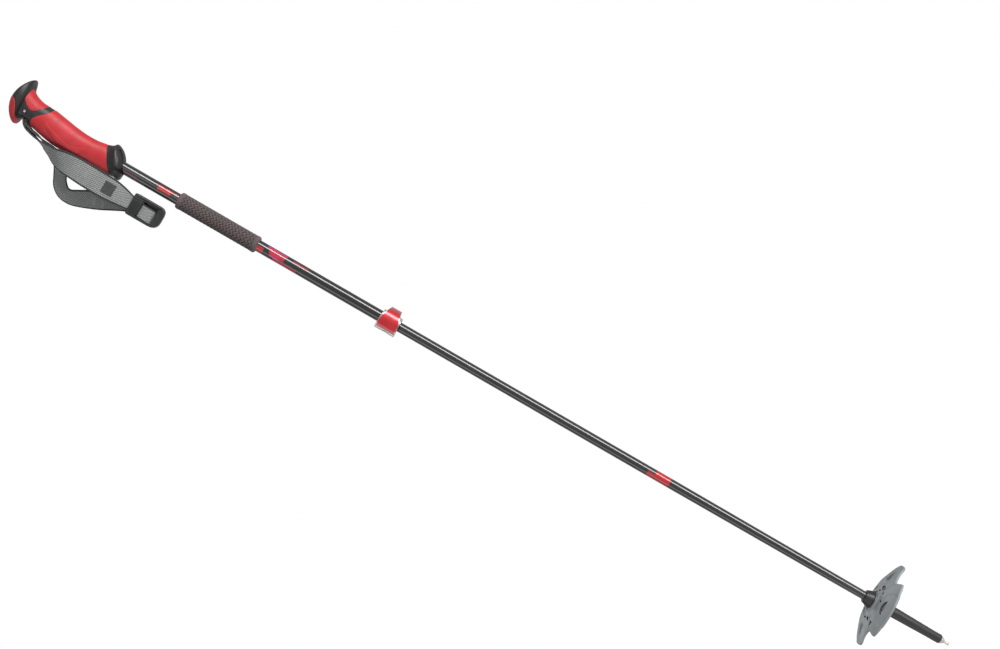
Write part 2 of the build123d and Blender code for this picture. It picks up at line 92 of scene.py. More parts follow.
def looped(count: int, knots: Sequence[Sequence[float]]) -> Array:
    """Closed smooth curve of count points through the knots, spaced by the knots' distances.

    The knots are repeated a full turn before and after, so that the curve has no seam; the last point
    repeats the first.

    Args:
        count: number of points.
        knots: points that the curve runs through, in order.

    Returns:
        The curve's points.
    """
    k = np.asarray(knots, float)
    n = len(k)
    around = np.vstack([k, k, k])
    step = np.r_[0, np.cumsum(np.linalg.norm(np.diff(around, axis=0), axis=1))]
    at = step[n] + np.linspace(0, 1, count) * (step[2 * n] - step[n])
    return smooth(at, step, around)


def filleted(corners: Sequence[Sequence[float]], radii: Any, steps: int = 6) -> Array:
    """Closed polygon whose corners are rounded by a quadratic Bezier that starts a radius before each corner.

    Args:
        corners: points of the polygon.
        radii: one cut-back for all corners, or one each; never more than MOST_CUT of either side.
        steps: points in each corner.

    Returns:
        The rounded polygon's points, the first repeated at the end.
    """
    p = np.asarray(corners, float)
    before, after = np.roll(p, 1, axis=0) - p, np.roll(p, -1, axis=0) - p
    reach = np.broadcast_to(np.asarray(radii, float), len(p))
    lb, la = np.linalg.norm(before, axis=1), np.linalg.norm(after, axis=1)
    start = p + before * (np.minimum(reach / lb, MOST_CUT))[:, None]
    end = p + after * (np.minimum(reach / la, MOST_CUT))[:, None]
    t = np.linspace(0, 1, steps)[None, :, None]
    arcs = (1 - t) ** 2 * start[:, None] + 2 * t * (1 - t) * p[:, None] + t * t * end[:, None]
    out = arcs.reshape(-1, p.shape[1])
    return np.vstack([out, out[:1]])


def rectangle(x0: float, x1: float, y0: float, y1: float, radii: Any) -> Array:
    """Rounded rectangle between two places on each axis, from its first corner (x0, y0) towards x1."""
    return filleted([(x0, y0), (x1, y0), (x1, y1), (x0, y1)], radii)


def resampled(points: Array, count: int) -> Array:
    """The polyline again with count points, evenly spaced along its length.

    Args:
        points: the polyline's points.
        count: number of points wanted.

    Returns:
        The new points.
    """
    step = np.r_[0, np.cumsum(np.linalg.norm(np.diff(points, axis=0), axis=1))]
    at = np.linspace(0, step[-1], count)
    return np.stack([np.interp(at, step, column) for column in points.T], -1)


def unit(vectors: Array) -> Array:
    """Vectors at length one."""
    return vectors / np.maximum(np.linalg.norm(vectors, axis=-1, keepdims=True), 1e-9)


def bell(distance: Array, width: float) -> Array:
    """Smooth bump of height one that has fallen to a third at the width."""
    return np.exp(-(distance / width) ** 2)


def ramp(value: Array, low: float, high: float) -> Array:
    """Smooth step from 0 at low to 1 at high."""
    t = np.clip((value - low) / (high - low), 0, 1)
    return t * t * (3 - 2 * t)


def quarter(count: int) -> tuple[Array, Array]:
    """A rim's quarter circle as shares of its radius: how far it has risen, and how far it stays drawn in."""
    turn = np.linspace(0, math.pi / 2, count)
    return 1 - np.cos(turn), 1 - np.sin(turn)


def rolled(limit: Array, keep: Array, roll: float, wall: float, rows: int, back: int) -> tuple[Array, Array]:
    """Rows of a pad from its middle out to its border, round the edge, and back as the inner wall.

    Args:
        limit: where the border lies, for each column.
        keep: the edge's radius in the units of limit.
        roll: the edge's radius in millimetres.
        wall: thickness of the pad.
        rows: rows on the face, less the one that the edge begins with.
        back: rows on the inner wall.

    Returns:
        How far out each point lies, and how deep it is drawn in, one row of numbers for each row of points.
    """
    rise, tuck = (part[::-1] for part in quarter(7))
    share = np.linspace(0, 1, rows)[:-1]
    out = np.concatenate([share[:, None] * (limit - keep), limit - rise[:, None] * keep,
                          np.linspace(1, 0, back)[:, None] * (limit + 0 * keep)])
    inset = np.r_[0 * share, roll * tuck, np.full(back, wall)]
    return out, inset[:, None] + 0 * keep


def capped(rows: Array, ends: Array) -> Array:
    """A grid of points closed by one point before its first row and one after its last."""
    tips = np.broadcast_to(ends[:, None], (2, *rows.shape[1:]))
    return np.concatenate([tips[:1], rows, tips[1:]])


def oval(angle: Array, power: float) -> tuple[Array, Array]:
    """Superellipse of half axes one: the signed 2/power powers of the angle's cosine and sine."""
    c, s = np.cos(angle), np.sin(angle)
    return np.sign(c) * np.abs(c) ** (2 / power), np.sign(s) * np.abs(s) ** (2 / power)


# ---------------------------------------------------------------- meshes
@dataclass
class Skin:
    """A grid of points in millimetres, with its surface coordinates and its finish.

    The finish is one slot number, or one for each column of faces.
    """

    points: Array
    chart: Optional[Array] = None
    finish: Any = 0

    def faces(self, base: int) -> Array:
        """Corner numbers of the grid's quads, counted from base.

        Args:
            base: number of the grid's first point.

        Returns:
            One row of four corner numbers for each quad.
        """
        rows, columns = self.points.shape[:2]
        corner = np.arange(rows * columns).reshape(rows, columns) + base
        quads = np.stack([corner[:-1, :-1], corner[:-1, 1:], corner[1:, 1:], corner[1:, :-1]], -1)
        return quads.reshape(-1, 4)

    def flat_chart(self) -> Array:
        """Surface coordinates of each point, zero where there are none.

        Returns:
            One pair for each point.
        """
        if self.chart is None:
            return np.zeros((self.points[..., 0].size, 2))
        return self.chart.reshape(-1, 2)

    def slots(self) -> Array:
        """Finish slot of each quad."""
        rows, columns = self.points.shape[:2]
        return np.broadcast_to(np.asarray(self.finish), (rows - 1, columns - 1)).ravel()


def shade(mesh: bpy.types.Mesh, sharp: float) -> None:
    """Smooth shading, with edges over the sharp angle in degrees left crisp.

    Args:
        mesh: mesh to shade.
        sharp: angle in degrees over which an edge stays crisp.
    """
    mesh.polygons.foreach_set("use_smooth", np.ones(len(mesh.polygons), bool))
    mesh.set_sharp_from_angle(angle=math.radians(sharp))
    mesh.update()


def make_piece(name: str, skins: Sequence[Skin], finishes: Sequence[bpy.types.Material],
               sharp: float = 38.0) -> bpy.types.Object:
    """One mesh object of one or more closed skins: points that meet are merged and faces turned outwards.

    Args:
        name: name of the piece.
        skins: grids that make it up.
        finishes: materials of its slots.
        sharp: angle in degrees over which an edge stays crisp.

    Returns:
        The object, at the origin.
    """
    starts = np.cumsum([0] + [s.points[..., 0].size for s in skins])
    faces = np.vstack([s.faces(int(b)) for s, b in zip(skins, starts)])
    points = np.vstack([s.points.reshape(-1, 3) for s in skins]) * MM
    mesh = bpy.data.meshes.new(name)
    mesh.from_pydata(points.tolist(), [], faces.tolist())
    chart = np.vstack([s.flat_chart() for s in skins])[faces.ravel()]
    mesh.uv_layers.new(name="chart").data.foreach_set("uv", chart.ravel())
    mesh.polygons.foreach_set("material_index", np.concatenate([s.slots() for s in skins]).astype(np.int32))
    shell = bmesh.new()
    shell.from_mesh(mesh)
    bmesh.ops.remove_doubles(shell, verts=shell.verts, dist=MERGE_DISTANCE)
    bmesh.ops.recalc_face_normals(shell, faces=shell.faces)
    shell.to_mesh(mesh)
    shell.free()
    shade(mesh, sharp)
    piece = bpy.data.objects.new(name, mesh)
    bpy.context.scene.collection.objects.link(piece)
    for finish in finishes:
        mesh.materials.append(finish)
    return piece


def cut(piece: bpy.types.Object, skins: Sequence[Skin], sharp: float = 38.0) -> None:
    """Take closed shapes out of a piece, whose cut walls take the shapes' finish slot; no modifier stays.

    Args:
        piece: piece to cut.
        skins: closed shapes to take out.
        sharp: angle in degrees over which an edge stays crisp.
    """
    tool = make_piece(piece.name + "_cut", skins, list(piece.data.materials))
    step = piece.modifiers.new("cut", "BOOLEAN")
    step.operation, step.solver, step.object = "DIFFERENCE", "MANIFOLD", tool
    done = bpy.data.meshes.new_from_object(piece.evaluated_get(bpy.context.evaluated_depsgraph_get()))
    piece.modifiers.clear()
    piece.data = done
    bpy.data.objects.remove(tool)
    shade(done, sharp)


def turned(profile: Any, segments: int = 96, finish: Any = 0) -> Skin:
    """Surface of revolution about the pole's axis through (radius, height) points.

    Args:
        profile: closed loop of radius and height, or a line whose ends lie on the axis.
        segments: faces round the axis.
        finish: finish slot.

    Returns:
        The surface.
    """
    r, z = np.asarray(profile, float).T
    angle = np.linspace(0, TAU, segments + 1)
    points = np.stack([r[:, None] * np.cos(angle), r[:, None] * np.sin(angle), z[:, None] + 0 * angle], -1)
    chart = np.stack(np.broadcast_arrays(angle / TAU, z[:, None] * 0.01), -1)
    return Skin(points, chart, finish)


def tube_along(path: Array, radius: Any, columns: int = 12) -> Skin:
    """Round bar along a path, with ends closed to a point.

    At each point a circle lies across the path. Its first axis is the path's tangent crossed with a
    fixed direction that the path never follows.

    Args:
        path: points of the bar's middle.
        radius: one radius, or one for each point.
        columns: faces round the bar.

    Returns:
        The bar's surface.
    """
    tangent = unit(np.gradient(path, axis=0))
    still = np.eye(3)[np.argmin(np.abs(tangent).sum(axis=0))]
    a = unit(np.cross(tangent, still))
    b = np.cross(tangent, a)
    angle = np.linspace(0, TAU, columns + 1)
    r = np.broadcast_to(np.asarray(radius, float), len(path))[:, None, None]
    ring = path[:, None] + r * (np.cos(angle)[:, None] * a[:, None] + np.sin(angle)[:, None] * b[:, None])
    return Skin(capped(ring, path[[0, -1]]))


def capsule(start: Sequence[float], end: Sequence[float], radius: float, columns: int = 12) -> Skin:
    """Bar with round ends: the radius follows a quarter circle at each end of a straight path.

    Args:
        start: one end.
        end: other end.
        radius: radius of the bar.
        columns: faces round the bar.

    Returns:
        The bar's surface.
    """
    a, b = np.asarray(start, float), np.asarray(end, float)
    length = np.linalg.norm(b - a)
    turn = np.linspace(0.08, math.pi / 2, 6)
    along = np.r_[radius - radius * np.cos(turn), length - radius + radius * np.cos(turn[::-1])] / length
    size = np.r_[radius * np.sin(turn), radius * np.sin(turn[::-1])]
    return tube_along(a + along[:, None] * (b - a), size, columns)


class Axis(Enum):
    """Direction in which a slab's thickness runs."""

    Y = "y"
    Z = "z"


def slab(outline: Array, low: float, high: float, edge: float, axis: Axis = Axis.Z) -> Skin:
    """Closed plate from an outline, with its rims rounded to a quarter circle.

    Rows run from the middle of one face, out to the rim, round it, and back over the other face. The
    outline moves in along its normals by edge x (1 - sine) while the height moves by edge x (1 - cosine).

    Args:
        outline: closed outline, first point repeated at the end, seen along the axis.
        low: lower face.
        high: upper face.
        edge: radius of the rims.
        axis: direction of the thickness; for Y the outline is (x, z).

    Returns:
        The plate's skin.
    """
    ring = outline[:-1]
    tangent = unit(np.roll(ring, -1, axis=0) - np.roll(ring, 1, axis=0))
    normal = np.stack([tangent[:, 1], -tangent[:, 0]], -1)
    x, y = ring.T
    if np.sum(x * np.roll(y, -1) - y * np.roll(x, -1)) < 0:
        normal = -normal
    rise, tuck = quarter(6)
    inset = edge * np.r_[tuck, tuck[::-1]]
    level = np.r_[low + edge * rise, high - edge * rise[::-1]]
    rows = ring[None] - inset[:, None, None] * normal[None]
    middle = np.broadcast_to(ring.mean(axis=0), (1, len(ring), 2))
    rows = np.concatenate([middle, rows, middle])
    rows = np.concatenate([rows, rows[:, :1]], axis=1)
    height = np.broadcast_to(np.r_[low, level, high][:, None], rows.shape[:2])
    if axis is Axis.Y:
        return Skin(np.stack([rows[..., 0], height, rows[..., 1]], -1))
    return Skin(np.stack([rows[..., 0], rows[..., 1], height], -1))


def moved(skin: Skin, shift: Sequence[float], turn: Optional[Matrix] = None) -> Skin:
    """The skin turned by a matrix, if there is one, and then shifted."""
    points = skin.points if turn is None else skin.points @ np.array(turn).T
    return Skin(points + np.asarray(shift, float), skin.chart, skin.finish)


def seat(piece: bpy.types.Object, body: str, slot: str, *nodes: str) -> bpy.types.Object:
    """Make a piece ride on a body and stand for CAD nodes.

    Args:
        piece: the finished piece.
        body: body that carries it.
        slot: the record's material slot; not used.
        nodes: CAD nodes that it stands for.

    Returns:
        The piece.
    """
    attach(piece, body)
    if nodes:
        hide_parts(*nodes)
    LOG.info("%s rides on %s: %d faces", piece.name, body, len(piece.data.polygons))
    return piece


# ---------------------------------------------------------------- finishes
class Recipe:
    """A node material laid out with short calls; patterns read Object coordinates in metres."""

    def __init__(self, name: str) -> None:
        """Start from a plain Principled shader.

        Args:
            name: name of the material.
        """
        self.material = bpy.data.materials.new(name)
        self.material.use_nodes = True
        self.tree = self.material.node_tree
        self.shader = self.tree.nodes["Principled BSDF"]
        self.coordinates = self.add("ShaderNodeTexCoord")
        self.place = self.coordinates.outputs["Object"]
        self.chart = self.coordinates.outputs["UV"]

    def add(self, kind: str, **settings: Any) -> bpy.types.Node:
        """Add a node and set its properties.

        Args:
            kind: type of the node.
            settings: its properties.

        Returns:
            The node.
        """
        node = self.tree.nodes.new(kind)
        for key, value in settings.items():
            setattr(node, key, value)
        return node

    def feed(self, socket: bpy.types.NodeSocket, value: Any) -> None:
        """Link an output to a socket, or set the socket to a plain value.

        Args:
            socket: input to set.
            value: an output, a number, or a colour of three numbers.
        """
        if isinstance(value, bpy.types.NodeSocket):
            self.tree.links.new(value, socket)
        elif isinstance(value, tuple) and len(value) == 3 and socket.type == "RGBA":
            socket.default_value = (*value, 1.0)
        else:
            socket.default_value = value

    def parts(self, vector: Any) -> Any:
        """The three numbers of a vector.

        Args:
            vector: output to split.

        Returns:
            The outputs of its three numbers.
        """
        node = self.add("ShaderNodeSeparateXYZ")
        self.feed(node.inputs[0], vector)
        return node.outputs

    def sum(self, operation: str, a: Any, b: Any = 0.0, c: Any = 0.0) -> bpy.types.NodeSocket:
        """Math node on up to three values.

        Args:
            operation: the node's operation.
            a: first value.
            b: second value.
            c: third value, the tolerance of a comparison.

        Returns:
            The result.
        """
        node = self.add("ShaderNodeMath", operation=operation)
        for socket, value in zip(node.inputs, (a, b, c)):
            self.feed(socket, value)
        return node.outputs[0]

    def noise(self, size: float, detail: float = 3.0, vector: Any = None,
              stretch: Optional[Colour] = None) -> bpy.types.NodeSocket:
        """Noise whose features are about size metres across, in 0 to 1; stretch scales its axes.

        Args:
            size: size of the features in metres.
            detail: finer layers on top.
            vector: where the pattern is read; the object's coordinates if not given.
            stretch: scale of each axis.

        Returns:
            The pattern, about 0 to 1.
        """
        source = self.place if vector is None else vector
        if stretch is not None:
            mapping = self.add("ShaderNodeMapping")
            self.feed(mapping.inputs["Vector"], source)
            mapping.inputs["Scale"].default_value = stretch
            source = mapping.outputs[0]
        node = self.add("ShaderNodeTexNoise")
        self.feed(node.inputs["Vector"], source)
        node.inputs["Scale"].default_value = 1.0 / size
        node.inputs["Detail"].default_value = detail
        return node.outputs["Fac"]

    def span(self, value: Any, low: float, high: float, to_low: float = 0.0,
             to_high: float = 1.0) -> bpy.types.NodeSocket:
        """Map a value from one range to another, 0 to 1 if it isn't given, held at the ends.

        Args:
            value: what to map.
            low: value that gives to_low.
            high: value that gives to_high.
            to_low: result at low.
            to_high: result at high.

        Returns:
            The mapped value.
        """
        node = self.add("ShaderNodeMapRange")
        for socket, number in zip(node.inputs, (value, low, high, to_low, to_high)):
            self.feed(socket, number)
        return node.outputs[0]

    def mix(self, share: Any, low: Any, high: Any) -> bpy.types.NodeSocket:
        """Mix of two colours.

        Args:
            share: 0 for low, 1 for high.
            low: first colour.
            high: second colour.

        Returns:
            The colour.
        """
        node = self.add("ShaderNodeMix", data_type="RGBA")
        for index, value in ((0, share), (6, low), (7, high)):
            self.feed(node.inputs[index], value)
        return node.outputs[2]

    def bump(self, height: Any, depth: float, under: Any = None) -> bpy.types.NodeSocket:
        """Relief of a height pattern, depth metres deep, on top of another relief.

        Args:
            height: pattern of the relief.
            depth: its depth in metres.
            under: relief that it lies on.

        Returns:
            The normal.
        """
        node = self.add("ShaderNodeBump")
        node.inputs["Distance"].default_value = depth
        self.feed(node.inputs["Height"], height)
        if under is not None:
            self.feed(node.inputs["Normal"], under)
        return node.outputs[0]

    def cells(self, size: float) -> bpy.types.NodeSocket:
        """Distance from the middle of each of a pattern's cells, which are about size metres.

        Args:
            size: size of a cell in metres.

        Returns:
            The distance.
        """
        node = self.add("ShaderNodeTexVoronoi")
        self.feed(node.inputs["Vector"], self.place)
        node.inputs["Scale"].default_value = 1.0 / size
        return node.outputs["Distance"]

    def finish(self, **sockets: Any) -> bpy.types.Material:
        """Feed the shader's sockets, named with underscores for spaces, and give the material.

        Args:
            sockets: value or output for each named socket.

        Returns:
            The material.
        """
        for key, value in sockets.items():
            self.feed(self.shader.inputs[key.replace("_", " ")], value)
        return self.material


@dataclass(frozen=True)
class Moulded:
    """Moulded plastic or rubber: mottled colour, fine spark-eroded grain and rubbed high spots."""

    name: str
    colour: Colour
    rubbed: Colour
    roughness: float
    grain: float = 0.00035
    depth: float = 0.00004
    sheen: float = 0.0
    dimple: float = 0.0
    pad_radius: float = 0.0155

    def dimples(self, r: Recipe, under: Any) -> Any:
        """Rows of round dimples on the flanks: product of two sines of the height and the way round.

        Args:
            r: the recipe in hand.
            under: relief that the dimples lie on.

        Returns:
            The normal.
        """
        x, y, z = r.parts(r.place)
        arc = r.sum("MULTIPLY", r.sum("ARCTAN2", r.sum("ABSOLUTE", y), x), self.pad_radius)
        turn = math.pi / self.dimple
        p = r.sum("SINE", r.sum("MULTIPLY", r.sum("ADD", z, arc), turn))
        q = r.sum("SINE", r.sum("MULTIPLY", r.sum("SUBTRACT", z, arc), turn))
        flank = r.span(r.sum("ABSOLUTE", y), 0.0075, 0.0105)
        height = r.sum("MULTIPLY", r.span(r.sum("MULTIPLY", p, q), 0.1, 0.9), flank)
        return r.bump(height, 0.00022, under)

    def material(self) -> bpy.types.Material:
        """Grain in the relief, slow mottling in the colour, and rubbing in colour and roughness.

        Returns:
            The finished material.
        """
        r = Recipe(self.name)
        mottle = r.noise(0.012, 4.0)
        rub = r.span(r.noise(0.03, 6.0), 0.52, 0.78, 0.0, 0.55)
        dark = tuple(0.80 * c for c in self.colour)
        base = r.mix(r.span(mottle, 0.3, 0.7), dark, self.colour)
        colour = r.mix(rub, base, self.rubbed)
        rough = r.span(r.noise(0.006, 5.0), 0.3, 0.7, self.roughness - 0.06, self.roughness + 0.08)
        grain = r.bump(r.noise(self.grain, 2.0), self.depth)
        relief = r.bump(r.noise(0.004, 2.0), 0.00005, grain)
        if self.dimple:
            relief = self.dimples(r, relief)
        return r.finish(Base_Color=colour, Roughness=rough, Normal=relief, Sheen_Weight=self.sheen)


@dataclass(frozen=True)
class Metal:
    """Turned or rolled metal: fine lines round the axis and a few darker stains."""

    name: str
    colour: Colour
    stained: Colour
    roughness: float
    metallic: float = 1.0

    def material(self) -> bpy.types.Material:
        """Lines that are long round the axis, in roughness and relief, over a slow stain.

        Returns:
            The finished material.
        """
        r = Recipe(self.name)
        lines = r.noise(0.0006, 3.0, stretch=(0.12, 0.12, 1.0))
        stain = r.span(r.noise(0.004, 5.0), 0.45, 0.75)
        colour = r.mix(stain, self.colour, self.stained)
        rough = r.span(lines, 0.3, 0.7, self.roughness - 0.05, self.roughness + 0.1)
        return r.finish(Base_Color=colour, Roughness=rough, Metallic=self.metallic,
                        Normal=r.bump(lines, 0.00002))


@dataclass(frozen=True)
class Anodised:
    """Glossy coloured shell of the lever: depth of colour, slight flow and hairline scratches."""

    name: str
    colour: Colour
    deep: Colour

    def material(self) -> bpy.types.Material:
        """Colour deepens in slow clouds; scratches lift the roughness under a clear coat.

        Returns:
            The finished material.
        """
        r = Recipe(self.name)
        cloud = r.span(r.noise(0.009, 3.0), 0.3, 0.7)
        scratch = r.noise(0.0005, 4.0, stretch=(1.0, 1.0, 0.05))
        rough = r.span(scratch, 0.4, 0.8, 0.22, 0.42)
        return r.finish(Base_Color=r.mix(cloud, self.colour, self.deep), Roughness=rough, Metallic=0.35,
                        Coat_Weight=0.8, Coat_Roughness=0.06, Normal=r.bump(r.noise(0.003, 2.0), 0.00004))


@dataclass(frozen=True)
class Mark:
    """A printed block on a shaft: heights in millimetres and angles round the axis in degrees."""

    low: float
    high: float
    start: float
    end: float
    magenta: bool = False


@dataclass(frozen=True)
class Lacquer:
    """Clear-coated shaft: black with faint weave under the lacquer, and printed blocks."""

    name: str
    colour: Colour
    marks: tuple[Mark, ...]
    red: Colour = (0.36, 0.008, 0.012)
    magenta: Colour = (0.42, 0.014, 0.080)
    mean_radius: float = 0.006
    weave: float = 0.0022

    def block(self, r: Recipe, height: Any, angle: Any, mark: Mark) -> Any:
        """One where both height and angle are inside the mark, else zero.

        Args:
            r: the recipe in hand.
            height: height in metres.
            angle: way round in radians.
            mark: the printed block.

        Returns:
            The mask.
        """
        tall = (mark.high - mark.low) / 2 * MM
        wide = math.radians(mark.end - mark.start) / 2
        in_height = r.sum("COMPARE", height, (mark.high + mark.low) / 2 * MM, tall)
        in_angle = r.sum("COMPARE", angle, math.radians(mark.start + mark.end) / 2, wide)
        return r.sum("MULTIPLY", in_height, in_angle)

    def material(self) -> bpy.types.Material:
        """Blocks over a black base with a fine weave; dust specks and rubbing lift the coat's roughness.

        Returns:
            The finished material.
        """
        r = Recipe(self.name)
        x, y, z = r.parts(r.place)
        angle = r.sum("ARCTAN2", y, x)
        arc = r.sum("MULTIPLY", angle, self.mean_radius)
        weave, cross = (r.sum("SINE", r.sum("MULTIPLY", r.sum(way, z, arc), TAU / self.weave))
                        for way in ("ADD", "SUBTRACT"))
        fibre = r.span(r.sum("MULTIPLY", weave, cross), -1.0, 1.0)
        lit = tuple(1.5 * c + 0.002 for c in self.colour)
        colour = r.mix(fibre, self.colour, lit)
        for kind, paint in ((False, self.red), (True, self.magenta)):
            shown: Any = None
            for mark in self.marks:
                if mark.magenta is kind:
                    one = self.block(r, z, angle, mark)
                    shown = one if shown is None else r.sum("MAXIMUM", shown, one)
            if shown is not None:
                colour = r.mix(shown, colour, paint)
        rub = r.noise(0.004, 6.0, stretch=(1.0, 1.0, 0.08))
        rough = r.span(rub, 0.35, 0.75, 0.20, 0.32)
        return r.finish(Base_Color=colour, Roughness=rough, Coat_Weight=0.9, Coat_Roughness=0.12,
                        Normal=r.bump(r.noise(0.03, 1.0, stretch=(1.0, 1.0, 0.2)), 0.00001))


@dataclass(frozen=True)
class Foam:
    """Closed-cell foam: speckled cells, clouds of a warmer tone, and painted shade in the grooves, darker
    where they are deeper.
    """

    name: str
    colour: Colour
    warm: Colour

    def material(self) -> bpy.types.Material:
        """Cells of half a millimetre in relief and colour, with warm clouds some centimetres long.

        Returns:
            The finished material.
        """
        r = Recipe(self.name)
        cloud = r.span(r.noise(0.011, 3.0, stretch=(1.0, 1.0, 0.7)), 0.42, 0.62)
        speck = r.span(r.noise(0.0007, 3.0), 0.3, 0.75, 0.0, 0.5)
        # The chart's first number is the groove depth; deeper grooves are mixed towards near-black below as
        # painted shade.
        depth = r.parts(r.chart)[0]
        base = r.mix(speck, r.mix(cloud, self.colour, self.warm), (0.15, 0.13, 0.125))
        colour = r.mix(r.span(depth, 0.05, 0.6, 0.0, 0.8), base, (0.012, 0.010, 0.010))
        cells = r.bump(r.cells(0.0005), 0.00006)
        return r.finish(Base_Color=colour, Roughness=0.85, Normal=cells, Sheen_Weight=0.15)


@dataclass(frozen=True)
class Webbing:
    """Woven tape in a steep twill; reads the piece's own chart in millimetres along and across."""

    name: str
    yarn: Colour
    second: Colour
    # Dark colour painted as shade in the gaps between grains; soil and fibre streaks also darken towards it.
    shade_and_soil: Colour
    cell: float = 2.6
    row: float = 1.25
    climb: float = 0.36

    def material(self) -> bpy.types.Material:
        """Rounded grains of yarn along the tape; each row starts a share of a grain further on, as in twill.

        A grain is the root of the product of two sines of the way along and across its cell; fibres slant
        over it, and the gaps between grains are painted dark as shade.

        Returns:
            The finished material.
        """
        r = Recipe(self.name)
        length, breadth, _ = r.parts(r.chart)
        row = r.sum("DIVIDE", breadth, self.row)
        step = r.sum("MULTIPLY", r.sum("FLOOR", row), self.climb)
        along = r.sum("ADD", r.sum("DIVIDE", length, self.cell), step)
        bulge = r.sum("MULTIPLY", r.sum("SINE", r.sum("MULTIPLY", r.sum("FRACT", along), math.pi)),
                      r.sum("SINE", r.sum("MULTIPLY", r.sum("FRACT", row), math.pi)))
        grain = r.sum("POWER", r.sum("MAXIMUM", bulge, 0.0), 0.5)
        fibre = r.noise(0.22, 3.0, vector=r.chart, stretch=(0.5, 2.2, 1.0))
        tone = r.noise(1.6, 2.0, vector=r.chart)
        yarn = r.mix(r.span(tone, 0.35, 0.65), self.yarn, self.second)
        # Low places between the grains take the dark colour: painted shade.
        colour = r.mix(r.span(grain, 0.38, 0.84), self.shade_and_soil, yarn)
        soil, streak = (r.span(pattern, 0.4, 0.8, 0.0, 0.2) for pattern in (r.noise(0.014, 4.0), fibre))
        weave = r.bump(grain, 0.00026)
        return r.finish(Base_Color=r.mix(r.sum("ADD", soil, streak), colour, self.shade_and_soil), Roughness=0.72,
                        Sheen_Weight=0.2, Normal=r.bump(fibre, 0.00006, weave))


class Finishes:
    """Every finish of the pole, made once."""

    def __init__(self) -> None:
        """Make the materials."""
        red, rubbed = (0.440, 0.012, 0.017), (0.47, 0.030, 0.038)
        self.rubber = Moulded("red_rubber", red, rubbed, 0.47, 0.0005, 0.00003, 0.04).material()
        self.dimpled = Moulded("dimpled_rubber", red, rubbed, 0.44, 0.0005, 0.00003, 0.04, 0.0016).material()
        self.black = Moulded("black_plastic", (0.015, 0.0148, 0.015), (0.042, 0.040, 0.039), 0.38).material()
        self.buckle = Moulded("buckle_plastic", (0.018, 0.018, 0.019), (0.045, 0.045, 0.045), 0.36).material()
        self.grey = Moulded("grey_plastic", (0.215, 0.236, 0.240), (0.30, 0.32, 0.322), 0.40, 0.0004,
                            0.00003).material()
        # Near-black for the walls of the basket's openings: painted shade, so that the openings read dark.
        self.hole_shade = Moulded("painted_hole_shade", (0.012, 0.013, 0.014), (0.03, 0.031, 0.033), 0.60).material()
        self.foam = Foam("grip_foam", (0.050, 0.044, 0.042), (0.078, 0.036, 0.038)).material()
        self.steel = Metal("turned_steel", (0.52, 0.50, 0.47), (0.34, 0.29, 0.24), 0.30).material()
        self.carbide = Metal("carbide", (0.62, 0.58, 0.53), (0.35, 0.31, 0.27), 0.26).material()
        self.silver = Metal("polished_trim", (0.62, 0.61, 0.60), (0.45, 0.43, 0.42), 0.26).material()
        self.anodised = Anodised("red_anodised", (0.55, 0.020, 0.028), (0.42, 0.010, 0.016)).material()
        self.band = Metal("band_silver", (0.50, 0.50, 0.51), (0.40, 0.39, 0.38), 0.34, 0.7).material()
        self.webbing = Webbing("webbing", (0.400, 0.415, 0.400), (0.290, 0.302, 0.292),
                               (0.048, 0.052, 0.052)).material()
        self.selvedge = Webbing("selvedge", (0.020, 0.020, 0.022), (0.034, 0.034, 0.036),
                                (0.006, 0.006, 0.007), 1.5, 0.8).material()
        self.label = Webbing("woven_label", (0.060, 0.066, 0.072), (0.048, 0.053, 0.058),
                             (0.018, 0.020, 0.022), 0.9, 0.5).material()
        self.thread = Moulded("thread", (0.30, 0.33, 0.325), (0.36, 0.39, 0.38), 0.7, 0.0003, 0.00005,
                              0.3).material()
        self.upper = Lacquer("upper_lacquer", (0.0065, 0.0065, 0.007), UPPER_MARKS).material()
        self.lower = Lacquer("lower_lacquer", (0.0095, 0.0095, 0.0095), LOWER_MARKS).material()


UPPER_MARKS = (
    Mark(GRIP_Z - 20.6, GRIP_Z - 20.0, -178, -107),
    Mark(GRIP_Z - 20.0, GRIP_Z + 2.0, -109, -105.5),
    Mark(GRIP_Z - 20.0, GRIP_Z + 2.0, -172, -168),
    Mark(GRIP_Z - 33.0, GRIP_Z - 21.0, -178, -158),
    Mark(GRIP_Z - 62.0, GRIP_Z - 33.0, -168, -164),
    Mark(GRIP_Z - 65.0, GRIP_Z - 48.0, -102, -50),
    Mark(GRIP_Z - 77.0, GRIP_Z - 65.0, -66, -61),
    Mark(GRIP_Z - 77.0, GRIP_Z - 65.0, -51, -47),
    Mark(917.0, 929.0, -150, -84),
    Mark(900.0, 910.0, -100, -48),
    Mark(890.0, 905.0, -108, -66),
    Mark(884.0, 903.0, -168, -122, True),
    Mark(896.0, 908.0, -122, -84, True),
    # This magenta block lies where the strip light's highlight crosses the print: partly print, partly
    # painted highlight.
    Mark(888.0, 914.0, -52, -30, True),
    Mark(860.0, 880.0, -56, -44),
    Mark(872.0, 884.0, -178, -120),
)
LOWER_MARKS = (
    Mark(374.5, 403.5, -180, -86),
    Mark(374.5, 394.0, -86, -20),
)


